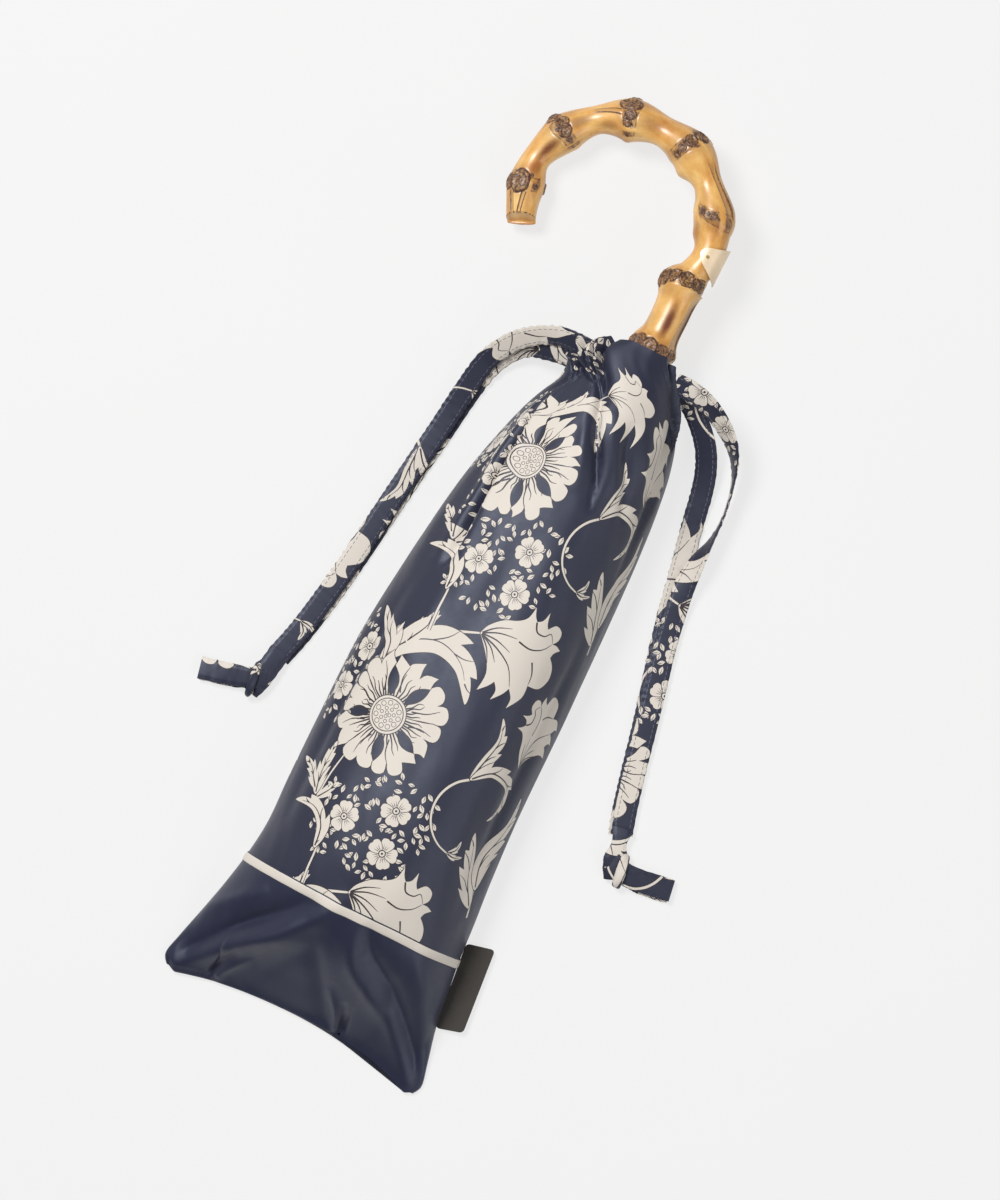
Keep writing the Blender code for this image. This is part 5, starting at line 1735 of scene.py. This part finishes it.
def tip_cap_rows(centre, ahead, spoke, reach):
    """Rings that round off the cut end of the crook."""
    return np.array([centre + ahead * out + spoke * reach * share for share, out in TIP_RINGS])


def bore_rows(centre, spoke):
    """Rings of the blind bore in the shank, from its closed end out to the shank's end."""
    depth = int(BORE_DEPTH / RING_GAP)
    start = centre[0]
    inner = np.array([start + spoke[0] * BORE_R + (centre[k] - start) for k in (depth, depth // 2, 1)])
    return np.concatenate((inner, [start + spoke[0] * (BORE_R + 0.3)]))


def pad_rows(values, before, after, end=0.0):
    """Values for the points of the bore and of the tip's end too."""
    return np.concatenate((
        np.zeros((before, values.shape[1])), values, np.full((after, values.shape[1]), end),
    )).reshape(-1)


def add_layer(piece, name, values):
    layer = piece.data.attributes.new(name, "FLOAT", "POINT")
    layer.data.foreach_set("value", np.clip(values, 0.0, 1.0).astype(np.float32))


# ------------------------------------------------------------------------ plate
PLATE_CENTRE = (2.4, 203.5)
PLATE_TILT = 50.0
PLATE_R = 8.05  # radius of the middle of the bent plate
PLATE_THICKNESS = 0.7
PLATE_OUTLINE = (
    (8.4, 6.1), (6.9, -0.5), (5.2, -5.6), (3.4, -6.9), (1.0, -6.9), (-1.6, -5.6), (-4.2, -2.6),
    (-6.6, 1.6), (-8.6, 6.1),
)


def gold_plate():
    """The blank half-oval plate, bent round the bamboo under its pin."""
    outline = smooth_line(PLATE_OUTLINE, 5)
    x, y = PLATE_CENTRE
    middle = np.array((x, y, SHAFT_Z + x * math.tan(CROOK_TILT)))

    def lift(along, across):
        turn = np.radians(PLATE_TILT) - np.arcsin(np.clip(across / PLATE_R, -1.0, 1.0))
        return np.stack((
            middle[0] + PLATE_R * np.cos(turn), middle[1] + along, middle[2] + PLATE_R * np.sin(turn),
        ), axis=-1)

    inner = inner_points(outline, 0.7, 0.6, (-8.0, -6.6), (8.0, 6.0), 0.35)
    points, faces = slab(outline, inner, PLATE_THICKNESS, lift)
    piece = make_piece("name_plate_blank", points, faces, ("gold",), "handle")
    soften(piece, 0.16)
    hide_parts("handle_plate")
    return piece


# ------------------------------------------------- folded canopy and its strap
CANOPY_PROFILE = (
    (-110.4, 8.8), (-108.6, 12.6), (-104.0, 14.8), (-97.0, 17.4), (-90.0, 19.3), (-70.0, 20.0),
    (20.0, 20.0), (48.0, 19.6), (55.0, 19.2), (62.0, 19.6), (90.0, 20.0), (122.0, 19.6), (127.0, 19.0),
)
CANOPY_FLAPS = 6
CANOPY_SHIFTS = (60.0, 186.0)  # where the print's repeats lie round the roll
STRAP_PROFILE = (
    (48.2, 20.75), (48.0, 21.0), (48.3, 21.3), (49.4, 21.4), (50.0, 21.15), (50.6, 21.4),
    (55.0, 21.35), (59.4, 21.4), (60.0, 21.15), (60.6, 21.4), (61.7, 21.3), (62.0, 21.0),
    (61.8, 20.75),
)


def canopy_surface():
    """The rolled canopy: overlapping flaps wound round the shaft, each with a folded edge."""
    around = np.linspace(0.0, 1.0, 241)
    y = np.linspace(-110.4, 127.0, 260)
    profile = np.array(smooth_line(CANOPY_PROFILE, 6))
    base = np.interp(y, profile[:, 0], profile[:, 1])[:, None]
    share, height = np.meshgrid(around, y)
    phase = (share * CANOPY_FLAPS + height / 260.0 + 0.12 * np.sin(height / 31.0)) % 1.0
    step = smoothstep(0.0, 0.06, phase) * (1.0 - 0.85 * phase)
    soft = 0.22 * np.sin(2 * math.pi * (3 * share + height / 47.0)) * np.sin(height / 13.0 + 5 * share)
    radius = base - 0.9 + 1.05 * step + 0.5 * soft
    radius = np.minimum(radius, base + 0.45)
    turn = 2 * math.pi * share
    points = np.stack((radius * np.sin(turn), height, SHAFT_Z + radius * np.cos(turn)), axis=-1)
    points[:, -1] = points[:, 0]
    return Surface(around * 2 * math.pi * 20.0, y, points)


def folded_canopy():
    """The rolled canopy in its printed cloth."""
    surface = canopy_surface()
    cloth = Print()
    for k in (-1, 0, 1):
        for across in CANOPY_SHIFTS:
            flat_repeat(cloth, k, (across, 30.0), SEED)
    laid = laid_cloth(surface, cloth, 2.0, (1.6, 3.0))
    piece = printed_piece("rolled_canopy", laid, "frame_and_canopy")
    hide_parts("canopy_folded")
    return piece


def closing_strap():
    """The band round the rolled canopy, with stitched edges."""
    angle = np.linspace(0.0, 2 * math.pi, 160, endpoint=False)
    ripple = 0.08 * np.sin(9 * angle) + 0.05 * np.sin(23 * angle + 1.0)
    rows = [
        np.stack((
            (r + ripple) * np.sin(angle), np.full(angle.shape, y), SHAFT_Z + (r + ripple) * np.cos(angle),
        ), axis=-1)
        for y, r in STRAP_PROFILE
    ]
    sides = len(angle)
    faces = grid_faces(len(rows), sides, closed=True)
    last = (len(rows) - 1) * sides
    for i in range(sides):
        after = (i + 1) % sides
        faces.append((last + i, last + after, after, i))
    piece = make_piece(
        "strap_band", np.array(rows).reshape(-1, 3), faces, ("print_navy",), "frame_and_canopy",
    )
    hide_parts("closing_strap")
    return piece


# ---------------------------------------------------- CAD nodes that stay, stage
NODE_MATERIALS = {
    "gold": ("handle_ferrule", "stud_cap", "stud_socket"),
    "brass": ("plate_pin",),
    "black_plastic": ("runner", "crown", "tip_cap"),
    "steel": (
        "handle_pin", "inner_tube", "middle_tube", "outer_tube", "inner_tube_catch",
        "middle_tube_catch", "runner_catch", "runner_wire", "crown_wire", "tip_washer",
    ),
}
RIBS = ("stretcher_", "inner_rib_", "middle_rib_", "outer_rib_")
VIEW_HEIGHT = 0.504  # height of the camera's view and its distance, in metres
CAMERA_DISTANCE = 3.0
CAMERA_OVER = (-9.2, 37.5)  # the point that it looks down on
CAMERA_TURN = math.radians(27.0)
FLOOR_HALF = 4.0
FLOOR_Z = -0.0006  # just under the lowest point of the cloth
FLOOR_GLOW = 0.746
# name, place, target, side, power and colour of each light
LIGHTS = (
    ("key", (-0.95, 0.45, 1.56), (0.0, 0.05, 0.0), 0.6, 34.5, (1.0, 0.985, 0.965)),
    ("fill", (1.35, -0.35, 1.2), (0.0, 0.0, 0.0), 1.2, 11.0, (1.0, 0.985, 0.96)),
)


def dress_cad_nodes():
    """Gives each CAD node that stays its finish."""
    names = {name: material for material, group in NODE_MATERIALS.items() for name in group}
    for index in range(6):
        names.update({rib + str(index + 1): "steel" for rib in RIBS})
    for name, material in names.items():
        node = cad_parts[name]
        if not node.material_slots:
            raise RuntimeError(name + " has no material slot")
        for place in node.material_slots:
            place.material = MATERIALS[material]


def add_camera():
    """Straight above the object, turned so that the umbrella lies diagonally in the frame."""
    data = bpy.data.cameras.new("camera")
    data.sensor_fit = "VERTICAL"
    data.sensor_height = 24.0
    data.lens = data.sensor_height * CAMERA_DISTANCE / VIEW_HEIGHT
    camera = link_object("camera", data)
    camera.location = (CAMERA_OVER[0] * MM, CAMERA_OVER[1] * MM, CAMERA_DISTANCE + SHAFT_Z * MM)
    camera.rotation_euler = (0.0, 0.0, CAMERA_TURN)
    bpy.context.scene.camera = camera


def add_area_light(name, place, target, size, power, colour):
    """A square area light at a place, turned towards its target."""
    data = bpy.data.lights.new(name, "AREA")
    data.shape = "RECTANGLE"
    data.size = data.size_y = size
    data.energy = power
    data.color = colour
    light = link_object(name, data)
    light.location = place
    light.rotation_euler = (Vector(target) - Vector(place)).to_track_quat("-Z", "Y").to_euler()


def add_floor():
    """A pale floor whose own glow evens out the light that falls on it."""
    mesh = bpy.data.meshes.new("floor")
    corners = [(x * FLOOR_HALF, y * FLOOR_HALF, FLOOR_Z) for x, y in ((-1, -1), (1, -1), (1, 1), (-1, 1))]
    mesh.from_pydata(corners, [], [(0, 1, 2, 3)])
    material, shader, add, link = new_material("floor")
    grain = noise(add, add("TexCoord").outputs["Object"], 8.0, 2.0)
    tone = ramp(add, grain, ((0.3, (0.120,) * 3), (0.7, (0.123,) * 3)))
    link(tone, shader.inputs["Base Color"])
    set_inputs(shader, {
        "Roughness": 0.9, "Emission Color": (1.0, 1.0, 1.0, 1.0), "Emission Strength": FLOOR_GLOW,
    })
    mesh.materials.append(material)
    link_object("floor", mesh)


def add_stage():
    """The floor and soft light from above."""
    add_floor()
    for light in LIGHTS:
        add_area_light(*light)
    world = bpy.data.worlds.new("studio")
    world.use_nodes = True
    set_inputs(world.node_tree.nodes["Background"], {"Color": (1.0, 1.0, 1.0, 1.0), "Strength": 0.17})
    bpy.context.scene.world = world
    bpy.context.scene.view_settings.view_transform = "Standard"


def main():
    """Makes the camera and the cords first, then the rest of the object and its stage."""
    add_camera()
    drawstrings()
    cloth, surface = printed_pouch()
    trims = [hem_panel(surface), piping(surface), label()]
    bamboo_handle()
    gold_plate()
    folded_canopy()
    closing_strap()
    dress_cad_nodes()
    add_stage()


main()
